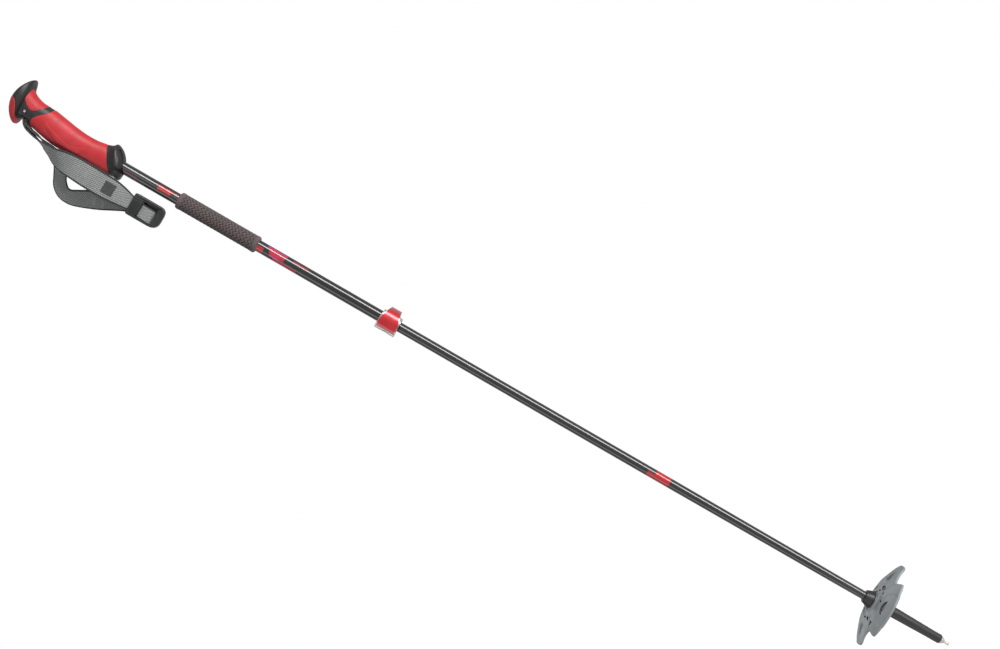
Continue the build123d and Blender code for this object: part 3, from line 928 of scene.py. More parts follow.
# ---------------------------------------------------------------- shafts
@dataclass
class Shafts:
    """The two sliding tubes and the foam sleeve under the grip."""

    upper_radius: float = 7.0
    upper_bore: float = 6.0
    upper_low: float = 747.0
    upper_top: float = GRIP_Z + 114.0
    lower_radius: float = 5.8
    lower_end_radius: float = 5.1
    lower_wall: float = 1.0
    lower_bottom: float = 62.0
    taper_low: float = 112.9
    taper_top: float = 372.0
    lower_top: float = 836.0
    foam_radius: float = 10.0
    foam_low: float = 926.0
    foam_top: float = 1032.0
    foam_lip: float = 2.2
    chevron_columns: float = 11.0
    chevron_rise: float = 3.4
    chevron_pitch: float = 4.6

    def tubes(self, finishes: Finishes) -> None:
        """Revolve a closed wall for each tube, its outer corners broken by a small round.

        Args:
            finishes: the pole's finishes.
        """
        r, b = self.upper_radius, self.upper_bore
        wall = rectangle(b, r, self.upper_low, self.upper_top, 0.25)
        piece = make_piece("upper_tube", [turned(wall, 128)], [finishes.upper])
        seat(piece, "upper_section", "shaft_lacquer", "upper_shaft")
        outer = [(self.lower_end_radius, self.lower_bottom), (self.lower_end_radius, self.taper_low),
                 (self.lower_radius, self.taper_top), (self.lower_radius, self.lower_top)]
        inner = [(radius - self.lower_wall, z) for radius, z in reversed(outer)]
        piece = make_piece("lower_tube", [turned(filleted(outer + inner, 0.2), 128)], [finishes.lower])
        seat(piece, "lower_section", "shaft_lacquer", "lower_shaft")

    def sleeve_relief(self, angle: Array, z: Array) -> Array:
        """Depth of the moulded pattern: columns of stacked chevrons, each a rounded groove.

        Height along the sleeve is bent into a zigzag of the angle; grooves are the power 2.5 of a raised
        cosine of that bent height, and fade out under the rounded lips.

        Args:
            angle: way round the sleeve.
            z: height on the pole.

        Returns:
            Depth in millimetres.
        """
        share = np.mod(angle / TAU * self.chevron_columns, 1.0)
        zigzag = 1.0 - np.abs(2.0 * share - 1.0)
        wander = 0.8 * np.sin(z * 0.11) + 0.5 * np.sin(angle * 3 + z * 0.05)
        wave = np.mod((z + self.chevron_rise * zigzag + wander) / self.chevron_pitch, 1.0)
        groove = (0.5 + 0.5 * np.cos(TAU * wave)) ** 2.5
        middle = (ramp(z, self.foam_low + 4.0, self.foam_low + 6.5)
                  * ramp(-z, -self.foam_top + 4.0, -self.foam_top + 6.5))
        return (0.80 * groove + 0.18 * bell(share - 0.5, 0.08)) * middle

    def foam(self, finishes: Finishes) -> None:
        """Revolve the sleeve's wall and press the chevrons into it; both ends are rounded lips.

        Args:
            finishes: the pole's finishes.
        """
        angle = np.linspace(0, TAU, 177)
        rise, tuck = (self.foam_lip * part for part in quarter(7))
        low_lip = np.stack([self.foam_radius - tuck, self.foam_low + rise], -1)
        z = np.linspace(self.foam_low + self.foam_lip, self.foam_top - self.foam_lip, 300)[1:-1]
        middle = np.stack([np.full_like(z, self.foam_radius), z], -1)
        top_lip = low_lip[::-1] * (1, -1) + (0, self.foam_low + self.foam_top)
        bore = self.upper_radius + 0.03
        wall = np.vstack([[(bore, self.foam_low)], low_lip, middle, top_lip,
                          [(bore, self.foam_top), (bore, self.foam_low)]])
        r, height = wall[:, :1], wall[:, 1:]
        bulge = 0.25 * (bell(height - self.foam_low - 3.0, 2.6) + bell(height - self.foam_top + 3.0, 2.6))
        outer = r > self.foam_radius - self.foam_lip - 0.1
        depth = np.where(outer, self.sleeve_relief(angle[None], height), 0.0)
        radius = r + np.where(outer, bulge, 0.0) - depth
        points = np.stack([radius * np.cos(angle), radius * np.sin(angle), height + 0 * angle], -1)
        # The chart carries the groove depth, which the foam's material turns into painted shade.
        chart = np.stack([depth, height * 0.01 + 0 * depth], -1)
        piece = make_piece("foam_sleeve", [Skin(points, chart)], [finishes.foam], 60.0)
        seat(piece, "upper_section", "foam", "foam_grip")


# ---------------------------------------------------------------- grip
# Height, rear, front and half width of the grip's stem.
STEM = (
    (4.0, -15.6, 15.0, 12.8), (12.0, -15.9, 14.8, 12.6), (27.0, -15.8, 14.6, 12.5),
    (40.0, -16.5, 12.6, 12.7), (55.0, -17.8, 12.3, 13.1), (70.0, -18.5, 13.8, 13.7),
    (85.0, -18.0, 16.2, 14.0), (100.0, -15.6, 18.4, 13.6), (107.0, -14.2, 18.8, 13.3),
    (112.0, -13.0, 18.8, 13.2), (122.0, -11.4, 20.4, 13.2), (128.0, -10.7, 22.8, 13.6),
    (131.0, -10.9, 24.6, 13.9), (134.0, -11.6, 26.6, 14.6), (138.0, -13.0, 28.0, 16.0),
)


def stem(angle: Array, height: Array, inset: Any = 0.0) -> Array:
    """Outer form of the grip's stem.

    Each level is a superellipse of power 2.2 between a rear and a front outline, as wide as twice the
    half width; all three run through the stations as smooth curves.

    Args:
        angle: turn from the front towards +Y, radians.
        height: height above the datum.
        inset: how far the form is drawn in.

    Returns:
        Points with an axis of three coordinates added.
    """
    table = np.array(STEM)
    rear, front, half = np.moveaxis(smooth(height, table[:, 0], table[:, 1:]), -1, 0)
    c, s = oval(angle, 2.2)
    x = (front + rear) / 2 + ((front - rear) / 2 - inset) * c
    return np.stack(np.broadcast_arrays(x, (half - inset) * s, GRIP_Z + height), -1)


def border_height(angle: Array, border: Callable[[Array], Array], start: float) -> Array:
    """Height at which the stem meets a border given as height over x: repeated substitution.

    Args:
        angle: turn from the front towards +Y, radians.
        border: height of the border at x.
        start: first guess.

    Returns:
        The height for each angle.
    """
    height = np.full_like(angle, start)
    for _ in range(14):
        height = 0.5 * height + 0.5 * border(stem(angle, height)[..., 0])
    return height


@dataclass
class Head:
    """Beaked head: a plan superellipse whose sections rise from a rim to the top and fall to the underside.

    The top, the rim and the underside are pairs of x and height.
    """

    centre: float = 9.6
    half_length: float = 28.2
    half_width: float = 21.8
    plan_power: float = 2.15
    top: tuple = ((-18.6, 135.4), (-15.0, 141.0), (-10.0, 145.0), (-4.0, 148.3), (2.0, 150.2), (8.0, 150.9),
                  (14.0, 150.4), (21.0, 148.6), (27.0, 146.0), (32.0, 143.2), (36.0, 139.8), (37.8, 136.8))
    rim: tuple = ((-18.6, 135.4), (-14.0, 136.4), (0.0, 138.4), (10.0, 140.6), (21.0, 141.6), (27.0, 140.3),
                  (33.0, 138.2), (37.8, 136.8))
    low: tuple = ((-18.6, 135.4), (-17.4, 133.6), (-12.0, 132.9), (10.0, 132.6), (22.0, 133.2), (28.0, 134.6),
                  (33.0, 135.8), (36.6, 136.2), (37.8, 136.8))

    def level(self, x: Array, knots: tuple) -> Array:
        """Height at x; knots are spaced by the angle whose cosine is their place: ends stay round.

        Args:
            x: places along the head.
            knots: pairs of x and height.

        Returns:
            The height at each place.
        """
        table = np.array(knots)
        at = np.arccos(np.clip((self.centre - table[:, 0]) / self.half_length, -1, 1))
        return smooth(np.arccos(np.clip((self.centre - x) / self.half_length, -1, 1)), at, table[:, 1])

    def sections(self, x: Array, inset: Any) -> tuple[Array, Array, Array, Array, Array]:
        """Half width, top, rim and underside at x, and the power of the upper curve.

        Args:
            x: places along the head.
            inset: how far the form is drawn in.

        Returns:
            Half width, top, rim, underside and power.
        """
        wide = self.centre + (x - self.centre) * self.half_length / (self.half_length - inset)
        share = np.clip(np.abs(wide - self.centre) / self.half_length, 0, 1)
        half = (self.half_width - inset) * (1 - share ** self.plan_power) ** (1 / self.plan_power)
        rim = self.level(wide, self.rim)
        top = np.maximum(self.level(wide, self.top) - inset, rim)
        low = np.minimum(self.level(wide, self.low) + inset, rim)
        return half, top, rim, low, 0.5 + 0.28 * ramp(x, 10.0, 30.0)

    def skin(self, inset: float) -> Skin:
        """Whole head: sections at x = centre - half length x cosine, each a closed loop of q = cosine.

        Above the rim z rises by (1 - |q|^2.3)^power of the height, which gives the beak a crease along its
        rim; below it falls by (1 - |q|^3.4)^0.5.

        Args:
            inset: how far the form is drawn in.

        Returns:
            The head's surface.
        """
        u = np.linspace(0, math.pi, 150)[:, None]
        turn = np.linspace(0, TAU, 161)[None]
        x = self.centre - (self.half_length - inset) * np.cos(u)
        half, top, rim, low, power = self.sections(x, inset)
        q = np.cos(turn)
        up = (top - rim) * np.clip(1 - np.abs(q) ** 2.3, 0, 1) ** power
        down = (rim - low) * np.clip(1 - np.abs(q) ** 3.4, 0, 1) ** 0.5
        z = rim + np.where(np.sin(turn) >= 0, up, -down)
        return Skin(np.stack(np.broadcast_arrays(x, half * q, GRIP_Z + z), -1))

    def reach(self, origin: Array, way: Array, inset: Any) -> Array:
        """Distance from an inner point to the surface along unit directions, by halving.

        Args:
            origin: point inside the head.
            way: unit directions.
            inset: how far the form is drawn in.

        Returns:
            The distance along each direction.
        """
        low, high = np.zeros(way.shape[:-1]), np.full(way.shape[:-1], 60.0)
        for _ in range(26):
            mid = (low + high) / 2
            x, y, z = np.moveaxis(origin + way * mid[..., None], -1, 0)
            half, top, rim, under, power = self.sections(x, inset)
            q = np.abs(y) / np.maximum(half, 1e-6)
            lid = rim + (top - rim) * np.clip(1 - q ** 2.3, 0, 1) ** power
            floor = rim - (rim - under) * np.clip(1 - q ** 3.4, 0, 1) ** 0.5
            inside = (q < 1) & (z < lid) & (z > floor)
            low, high = np.where(inside, mid, low), np.where(inside, high, mid)
        return low


@dataclass
class Grip:
    """Hard frame with its head, the rubber sleeve and pads, and the collar."""

    head: Head
    roll: float = 1.0
    gap_inset: float = 0.3
    sleeve_wall: float = 2.6
    pad_wall: float = 1.9
    pad_middle: tuple = (0.0, 121.0)
    pad_radius: float = 15.0
    neck_low: float = 90.0
    neck_top: float = 137.0
    mouth_half: float = 9.9
    mouth_depth: float = 5.2

    def sleeve_low(self, x: Array) -> Array:
        """Border with the collar: a plane that rises to the front."""
        return 18.1 + 0.59 * x

    def sleeve_top(self, x: Array) -> Array:
        """Border with the cross band: level at the rear, then falling to the front."""
        return smooth(x, (-20, -12, -6, -2.5, 1, 5, 9, 12.5, 16, 19),
                      (116.6, 116.9, 117.1, 116.1, 113.6, 109.6, 105.6, 102.9, 101.3, 100.7))

    def palm_relief(self, points: Array) -> Array:
        """Height of the palm swell: a soft shelf between two creases that run down each side and fade.

        Args:
            points: points on the stem.

        Returns:
            Height of the relief, below zero in a crease.
        """
        x, z = points[..., 0], points[..., 2] - GRIP_Z
        rear = smooth(z, (40, 50, 61, 81, 98, 106), (-6.5, -12.4, -14.4, -12.0, -4.0, 1.0))
        front = smooth(z, (48, 58, 81, 96, 104), (-3.0, -7.6, -5.0, 0.0, 4.0))
        fade = ramp(z, 38.0, 54.0) * ramp(-z, -104.0, -92.0)
        shelf = ramp(x - rear, -1.2, 1.2) * ramp(front - x, -2.0, 2.0)
        return fade * (0.42 * shelf - 0.30 * bell(x - rear, 0.9) - 0.22 * bell(x - front, 1.2))

    def sleeve(self, finishes: Finishes) -> None:
        """Closed ring between two borders: edges roll in by a quarter circle and return as an inner wall.

        Args:
            finishes: the pole's finishes.
        """
        angle = np.linspace(0, TAU, 201)
        low = border_height(angle, self.sleeve_low, 15.0)
        top = border_height(angle, self.sleeve_top, 112.0)
        rise, tuck = (self.roll * part for part in quarter(7))
        share = np.linspace(0, 1, 170)[1:-1]
        back = np.linspace(1, 0, 14)
        height = np.concatenate([
            low + rise[:, None],
            low + self.roll + share[:, None] * (top - low - 2 * self.roll),
            top - rise[::-1, None],
            low + back[:, None] * (top - low),
            low[None],
        ])
        inset = np.r_[tuck, 0 * share, tuck[::-1], np.full(len(back), self.sleeve_wall), tuck[:1]][:, None]
        outside = (inset < self.roll * 0.999) * 1.0
        points = stem(angle, height, inset)
        points = stem(angle, height, inset - outside * self.palm_relief(points))
        piece = make_piece("rubber_sleeve", [Skin(points)], [finishes.rubber], 50.0)
        seat(piece, "upper_section", "red_rubber", "grip_sleeve")

    def neck(self, finishes: Finishes) -> None:
        """Cross band and neck: the stem drawn in a little, with a mouth at the rear for the strap.

        Args:
            finishes: the pole's finishes.
        """
        angle = np.linspace(0, TAU, 241)
        height = np.linspace(self.neck_low, self.neck_top, 140)[:, None]
        rough = stem(angle, height)
        behind = (np.cos(angle) < 0) * 1.0
        mouth = behind * ramp(self.mouth_half - np.abs(rough[..., 1]), -0.5, 0.5)
        mouth = mouth * ramp(height, 117.2, 118.4) * ramp(-height, -130.2, -129.0)
        walls = stem(angle, height, self.gap_inset + self.mouth_depth * mouth)
        ends = np.array([(2.0, 0.0, GRIP_Z + level) for level in (self.neck_low, self.neck_top)])
        points = capped(walls, ends)
        piece = make_piece("grip_neck", [Skin(points)], [finishes.black], 42.0)
        seat(piece, "upper_section", "black_plastic")

    def crown(self) -> Skin:
        """Rear pad of the head, as rays from a point inside it.

        Rays spread round an axis that points up and to the rear. Each direction round the axis goes as far
        as the border seen from the side, where the skin rolls in and returns as an inner wall.

        Returns:
            The pad's surface.
        """
        origin = np.array([-3.0, 0.0, 139.0])
        axis = unit(np.array([-0.80, 0.0, 0.60]))
        across = np.array([0.0, 1.0, 0.0])
        up = np.cross(axis, across)
        around = np.linspace(0, TAU, 181)

        def way(spread: Array) -> Array:
            """Unit directions at an angle from the axis."""
            ring = np.cos(around)[:, None] * across + np.sin(around)[:, None] * up
            return np.cos(spread)[..., None] * axis + np.sin(spread)[..., None] * ring

        trial = np.linspace(0.05, 2.75, 400)[:, None] + 0 * around
        hit = origin + way(trial) * self.head.reach(origin, way(trial), 0.0)[..., None]
        edge = smooth(hit[..., 2], (130, 132, 133.6, 135.6, 137.2, 139.8, 143.6, 147, 156),
                      (-12.6, -12.3, -11.2, -5, 0, 5, 8.4, 8.6, 7.4))
        over = hit[..., 0] > edge
        limit = trial[np.argmax(over, axis=0), 0]
        kernel = np.ones(9) / 9
        limit[:-1] = np.convolve(np.r_[limit[-5:-1], limit[:-1], limit[:4]], kernel, "valid")
        limit[-1] = limit[0]
        radius = self.head.reach(origin, way(limit[None]), 0.0)[0]
        spread, inset = rolled(limit, self.roll / radius, self.roll, self.pad_wall, 70, 20)
        ways = way(spread)
        hit = origin + ways * self.head.reach(origin, ways, inset)[..., None]
        return Skin(hit + (0.0, 0.0, GRIP_Z))

    def front_pad(self) -> Skin:
        """Pad under the beak: a closed outline on the stem, filled from its middle outwards.

        The outline is a smooth loop in (arc, height). Rows share out the way from the middle to it, then
        roll in by a quarter circle and return as an inner wall.

        Returns:
            The pad's surface.
        """
        half = ((0, 107.4), (30, 108.4), (53, 110.8), (72, 114.6), (87, 119.4), (91, 123), (89.5, 127),
                (84, 131), (70, 135), (40, 137), (0, 137.4))
        scale = math.radians(1.0) * self.pad_radius
        right = [(a * scale, h) for a, h in half]
        loop = looped(201, right + [(-a, h) for a, h in right[-2:0:-1]])
        middle = np.array(self.pad_middle)
        keep = self.roll / np.linalg.norm(loop - middle, axis=1)
        spread, inset = rolled(np.ones_like(keep), keep, self.roll, self.pad_wall, 90, 16)
        place = middle + spread[..., None] * (loop - middle)
        return Skin(stem(place[..., 0] / self.pad_radius, place[..., 1], inset))

    def collar(self, finishes: Finishes) -> None:
        """Tilted ellipses joined by smooth curves: concave neck, thick rim, rounded lower face, bore.

        Each ring is x, height, length, width and slope in degrees; slots are cut beside the shaft.

        Args:
            finishes: the pole's finishes.
        """
        rings = np.array((
            (-0.3, 20.0, 30.0, 21.0, 30.5), (-0.4, 18.9, 33.6, 23.8, 30.5), (-0.4, 18.0, 35.0, 25.1, 30.4),
            (-0.1, 16.4, 35.5, 25.9, 29.8), (0.5, 13.8, 36.2, 27.8, 28.9), (1.3, 11.4, 37.7, 31.0, 27.5),
            (1.9, 9.9, 39.6, 34.0, 26.6), (2.2, 9.0, 40.7, 35.3, 26.5), (2.35, 7.8, 41.0, 35.6, 26.4),
            (2.35, 6.6, 40.5, 35.1, 26.2), (2.2, 5.2, 38.6, 33.4, 25.3), (1.9, 3.4, 35.0, 30.6, 23.2),
            (1.4, 1.7, 30.0, 26.8, 21.0), (0.9, 0.3, 25.0, 23.2, 19.6), (0.4, -0.7, 20.0, 19.4, 18.8),
            (0.1, -0.8, 16.8, 16.4, 18.0), (0.0, -0.3, 15.0, 14.4, 16.0), (0.0, 8.0, 14.4, 14.3, 6.0),
            (0.0, 19.0, 14.3, 14.3, 4.0), (-0.3, 20.0, 30.0, 21.0, 30.5)))
        row = np.linspace(0, len(rings) - 1, 6 * (len(rings) - 1) + 1)
        x, z, length, width, slope = smooth(row, np.arange(len(rings)), rings).T[..., None]
        angle = np.linspace(0, TAU, 161)
        c, s = oval(angle, 2.1)
        tilt = np.radians(slope)
        points = np.stack(np.broadcast_arrays(x + length / 2 * c * np.cos(tilt), width / 2 * s,
                                              GRIP_Z + z + length / 2 * c * np.sin(tilt)), -1)
        piece = make_piece("grip_collar_shell", [Skin(points)], [finishes.black], 42.0)
        slot = slab(rectangle(-7.8, 7.8, -1.65, 1.65, 1.6), -9.0, 9.0, 0.3)
        notch = rectangle(-6.9, -3.0, -18.0, -4.0, 0.8)
        lean = Matrix.Rotation(math.radians(-36), 3, "Y")
        cutters = []
        for side in (-1, 1):
            cutters.append(moved(slot, (13.0, side * 8.4, GRIP_Z + 3.6), lean))
            cutters.append(moved(slab(notch * (1, -side), -6.0, 5.4, 1.2), (0.0, 0.0, GRIP_Z)))
        cut(piece, cutters)
        seat(piece, "upper_section", "black_plastic", "grip_collar")

    def build(self, finishes: Finishes) -> None:
        """Make and seat every piece of the grip.

        Args:
            finishes: the pole's finishes.
        """
        self.neck(finishes)
        head = make_piece("grip_head", [self.head.skin(self.gap_inset)], [finishes.black], 50.0)
        seat(head, "upper_section", "black_plastic", "grip_frame")
        crown = make_piece("crown_pad", [self.crown()], [finishes.rubber], 50.0)
        seat(crown, "upper_section", "red_rubber", "grip_crown_pad")
        front = make_piece("front_pad", [self.front_pad()], [finishes.dimpled], 50.0)
        seat(front, "upper_section", "red_rubber", "grip_front_pad")
        self.sleeve(finishes)
        self.collar(finishes)


# ---------------------------------------------------------------- lever lock
@dataclass
class Lock:
    """Lever that wraps the clamp band: a red face in a bright bevelled frame, on two knuckles."""

    centre: float = 749.0
    height: float = 25.6
    tab_height: float = 13.6
    narrow_from: float = 1.0
    narrow_over: float = 15.6
    bevel: float = 0.55
    axle_x: float = -10.6
    axle_y: float = -7.8
    knuckle: float = 3.0
    outer: tuple = ((-11.8, -10.6), (-6.0, -13.0), (2.0, -13.6), (10.6, -10.0), (14.8, -2.0), (16.6, 9.8))
    inner: tuple = ((-10.0, -9.9), (-6.0, -10.9), (1.0, -11.3), (8.8, -8.2), (12.4, -1.0), (13.6, 9.6))

    def plate(self) -> Skin:
        """Section carried along the plan curve.

        The section's depth runs from the outer to the inner curve; its height shrinks from the full one
        to the tab's past x = 1. Bevels lead from the face to the middle of the wall all round.

        Returns:
            The plate, with slot 0 on its face and 1 on the frame round it.
        """
        count = 120
        outer = resampled(smooth(np.linspace(0, 5, 400), range(6), self.outer), count)
        inner = resampled(smooth(np.linspace(0, 5, 400), range(6), self.inner), count)
        narrowed = np.clip((outer[:, 0] - self.narrow_from) / self.narrow_over, 0, 1) ** 0.9
        half = self.height / 2 - (self.height - self.tab_height) / 2 * narrowed
        b = self.bevel
        edge = np.array([(1.0, -1.0, 0.0), (0.52, -1.0, 0.0), (0.40, -1.0, 0.12), (0.04, -1.0, b),
                         (0.0, -1.0, b + 0.5)])
        loop = np.vstack([edge, edge[::-1] * (1, -1, -1), edge[:1]])
        depth, side, off = loop.T
        count_end = 6
        start = np.linspace(0.5, 0, count_end)
        trim = np.r_[start, np.zeros(count - 2 * count_end), start[::-1]][:, None]
        d = np.clip(depth * (1 - trim) + trim, 0, 1)
        xy = outer[:, None] * (1 - d[..., None]) + inner[:, None] * d[..., None]
        z = self.centre + side * half[:, None] + off
        walls = np.concatenate([xy, z[..., None]], -1)
        points = capped(walls, walls[[0, -1]].mean(axis=1))
        faces = np.ones((len(points) - 1, len(loop) - 1), int)
        faces[count_end:-count_end, 4:5] = 0
        return Skin(points, None, faces)

    def build(self, finishes: Finishes) -> None:
        """Plate of the lever with its two knuckles on the axle.

        Args:
            finishes: the pole's finishes.
        """
        reach = self.height / 2
        skins = [self.plate()]
        for low, high in ((self.centre - reach, self.centre - 4.4), (self.centre + 4.4, self.centre + reach)):
            ring = rectangle(2.0, self.knuckle, low, high, 0.5)
            skins.append(moved(turned(ring, 48, 1), (self.axle_x, self.axle_y, 0.0)))
        piece = make_piece("lever", skins, [finishes.anodised, finishes.silver], 30.0)
        seat(piece, "lever", "red_anodised", "lock_lever")


# ---------------------------------------------------------------- tip and basket
@dataclass
class Tip:
    """Ferrule that carries the basket and the steel tip.

    The outside is radius, height and rounding of each corner of its wall.
    """

    holder_radius: float = 3.25
    shaft_radius: float = 5.15
    low: float = 11.0
    seat_z: float = 62.0
    top: float = 112.9
    outside: tuple = ((4.6, 11.0, 0.8), (5.5, 11.9, 1.2), (5.5, 25.0, 3.0), (6.5, 76.0, 6.0),
                      (6.52, 104.4, 0.4), (10.4, 102.8, 0.3), (10.9, 103.5, 0.5), (10.75, 104.6, 0.3),
                      (10.3, 105.0, 0.5), (7.75, 111.9, 0.7), (7.2, 112.9, 0.5))

    def build(self, finishes: Finishes) -> None:
        """Revolve the ferrule's wall, with its flare above the basket and a stepped bore.

        Args:
            finishes: the pole's finishes.
        """
        inside = ((self.shaft_radius, self.top, 0.2), (self.shaft_radius, self.seat_z, 0.2),
                  (self.holder_radius, self.seat_z, 0.2))
        wall = np.array(((self.holder_radius, self.low, 0.1),) + self.outside + inside)
        shell = turned(filleted(wall[:, :2], wall[:, 2]), 128)
        piece = make_piece("ferrule", [shell], [finishes.black], 40.0)
        seat(piece, "lower_section", "black_plastic", "tip_ferrule")


@dataclass
class Basket:
    """Domed snow basket with a hub, a broad lobe each side and a near sector between two notches.

    A slot is the place of its middle, its length, width and turn in degrees; a triangle is its corners.
    """

    radius: float = 52.0
    rim_z: float = 90.6
    hub_z: float = 100.4
    hub_radius: float = 12.2
    hub_top: float = 102.5
    hub_low: float = 90.0
    bore: float = 6.62
    wall: float = 2.4
    lip: float = 0.5
    raised: float = 2.4
    edge: float = 1.0
    far_radius: float = 49.8
    eye: tuple = (19.0, -9.5)
    eye_half: tuple = (2.8, 5.6)
    slots: tuple = ((-20.5, -3.0, 6.6, 2.4, 80), (-20.5, -12.5, 6.2, 2.6, 64), (-15.0, 15.5, 8.0, 2.4, 40),
                    (15.0, 15.5, 8.0, 2.4, -40), (14.6, -2.0, 4.4, 2.0, 90), (13.6, -16.6, 5.2, 2.2, 60),
                    (4.6, -23.0, 4.2, 2.4, 80), (0.0, 30.0, 9.0, 3.0, 0))
    triangles: tuple = (((28.0, 5.4), (43.4, -5.4), (29.6, -8.0)),
                        ((-28.0, 5.4), (-43.4, -5.4), (-29.6, -8.0)),
                        ((-20.0, -21.0), (-26.8, -23.4), (-21.4, -28.4)))
    lobe: tuple = ((30.6, -26.8), (35.6, -22.2), (42.2, -17.6), (48.4, -14.2), (51.6, -9.0), (51.8, 2.0),
                   (47.6, 11.6))
    step: tuple = ((46.8, 12.6), (38.8, 16.6), (31.2, 23.0), (28.2, 31.0), (28.0, 38.6))

    def outline(self, count: int) -> tuple[Array, Array]:
        """Distance of the rim from the axis for each angle.

        Half the outline runs through arcs and corners from the near side to the far side; its mirror
        image closes it, and the polar radius is read off along the angle.

        Args:
            count: number of angles.

        Returns:
            The angles and the rim's distance at each.
        """
        tooth = np.radians(np.linspace(-90, -51.5, 30))
        near = self.radius * np.stack([np.cos(tooth), np.sin(tooth)], -1)
        lobe = smooth(np.linspace(0, 6, 90), range(7), self.lobe)
        step = smooth(np.linspace(0, 4, 40), range(5), self.step)
        far = np.radians(np.linspace(57.5, 90, 30))
        back = self.far_radius * np.stack([np.cos(far), np.sin(far)], -1)
        corners = np.vstack([near, [(34.0, -39.0)], lobe, step, back])
        both = np.vstack([corners, (corners * (-1, 1))[-2:0:-1]])
        soft = filleted(both, 0.8, steps=4)
        angle = np.unwrap(np.arctan2(soft[:, 1], soft[:, 0]))
        distance = np.linalg.norm(soft, axis=1)
        at = np.linspace(angle[0], angle[0] + TAU, count)
        order = np.argsort(angle)
        return at, np.interp(at, angle[order], distance[order], period=TAU)

    def web_top(self, x: Array, y: Array) -> Array:
        """Height of the top face.

        A parabola falls from the hub to the rim, less towards the near side. A crescent ledge steps down
        round the half-moon opening, swells run along the lobes, grooves slant beside the near sector, an arc
        rises round the far side, and a fillet stands round the hub.

        Args:
            x: places across.
            y: places from the near side to the far side.

        Returns:
            The height at each.
        """
        r = np.hypot(x, y)
        share = np.clip((r - self.hub_radius) / (self.radius - self.hub_radius), 0, 1.2)
        z = self.rim_z + (self.hub_z - self.rim_z) * (1 - share * share)
        z = z + self.raised * ramp(-y, -30.0, 30.0) * share
        ring = np.hypot(x, y + 45.0)
        z = z - 0.4 * ramp(20.4 - ring, -1.6, 1.8) + 0.2 * bell(ring - 21.6, 1.2) * ramp(-y, 22.0, 26.0)
        side = np.abs(x)
        z = z + 0.9 * bell(y + 1.0 - 0.12 * (side - 30.0), 5.0) * ramp(side, 20.0, 30.0)
        z = z - 0.5 * bell(side - 0.86 * (-y) - 4.0, 2.0) * ramp(-y, 10.0, 16.0)
        z = z + 0.7 * bell(r - 21.5, 1.6) * ramp(np.abs(np.arctan2(x, -y)), 0.95, 1.15)
        return z + 1.6 * bell(r - self.hub_radius, 2.2)

    def skin(self) -> Skin:
        """Closed shell in polar rows: bore, hub, web, rounded rim, underside and back up the hub.

        Returns:
            The basket before its openings are cut.
        """
        angle, rim = self.outline(541)
        share = np.linspace(0, 1, 76)[:, None]
        rise, tuck = (self.edge * part[:, None] for part in quarter(6))
        foot = self.hub_radius + 0.4
        radius = foot + share * (rim - self.edge - foot)
        c, s = np.cos(angle), np.sin(angle)
        top = self.web_top(radius * c, radius * s)
        edge_r = rim - tuck
        edge_z = self.web_top((rim - self.edge) * c, (rim - self.edge) * s)
        wall = self.wall + self.lip * bell(rim - self.edge - radius, 2.6)
        over = edge_z - rise
        under = edge_z - self.wall - self.lip + rise[::-1]
        hub = np.array([(self.bore, self.hub_low), (self.bore, self.hub_top - 0.5),
                        (self.bore + 0.5, self.hub_top), (8.9, self.hub_top), (9.4, self.hub_top - 0.2),
                        (9.7, self.hub_top - 0.9), (11.3, self.hub_top - 1.0), (11.9, self.hub_top - 1.3),
                        (12.2, self.hub_top - 1.9)])
        low = np.array([(12.4, self.hub_low + 2.0), (12.2, self.hub_low + 0.4), (11.8, self.hub_low),
                        (self.bore, self.hub_low)])
        flat = np.ones_like(angle)
        r = np.concatenate([hub[:, :1] * flat, radius, edge_r, edge_r[::-1], radius[::-1], low[:, :1] * flat])
        z = np.concatenate([hub[:, 1:] * flat, top, over, under, (top - wall)[::-1], low[:, 1:] * flat])
        return Skin(np.stack([r * c, r * s, z], -1))

    def openings(self) -> list[Skin]:
        """Upright cutters: half moon, oval hole, straight slots, a long curved slot and triangles.

        Returns:
            The cutters.
        """
        def through(shape: Array) -> Skin:
            """Prism that stands through the web; the walls it cuts take slot 1, near-black as painted shade.
            """
            prism = slab(shape, 76.0, 108.0, 0.2)
            return Skin(prism.points, None, 1)

        arc = np.radians(np.linspace(12, 168, 24))
        moon = np.stack([9.2 * np.cos(arc), -39.6 + 8.6 * np.sin(arc)], -1)
        cutters = [through(filleted(moon, 0.8))]
        ring = np.radians(np.linspace(0, 360, 37))
        cutters.append(through(np.stack([np.cos(ring), np.sin(ring)], -1) * self.eye_half + self.eye))
        box = np.array([(-1.0, -1.0), (1.0, -1.0), (1.0, 1.0), (-1.0, 1.0)])
        for x, y, length, width, turn in self.slots:
            c, s = math.cos(math.radians(turn)), math.sin(math.radians(turn))
            corners = box * (length / 2, width / 2) @ np.array([[c, s], [-s, c]]) + (x, y)
            cutters.append(through(filleted(corners, width * 0.45)))
        sweep = np.radians(np.linspace(216, 258, 20))
        curved = np.concatenate([24.9 * np.stack([np.cos(sweep), np.sin(sweep)], -1),
                                 23.4 * np.stack([np.cos(sweep[::-1]), np.sin(sweep[::-1])], -1)])
        cutters.append(through(filleted(curved, 0.6, steps=3)))
        return cutters + [through(filleted(corners, 0.6)) for corners in self.triangles]

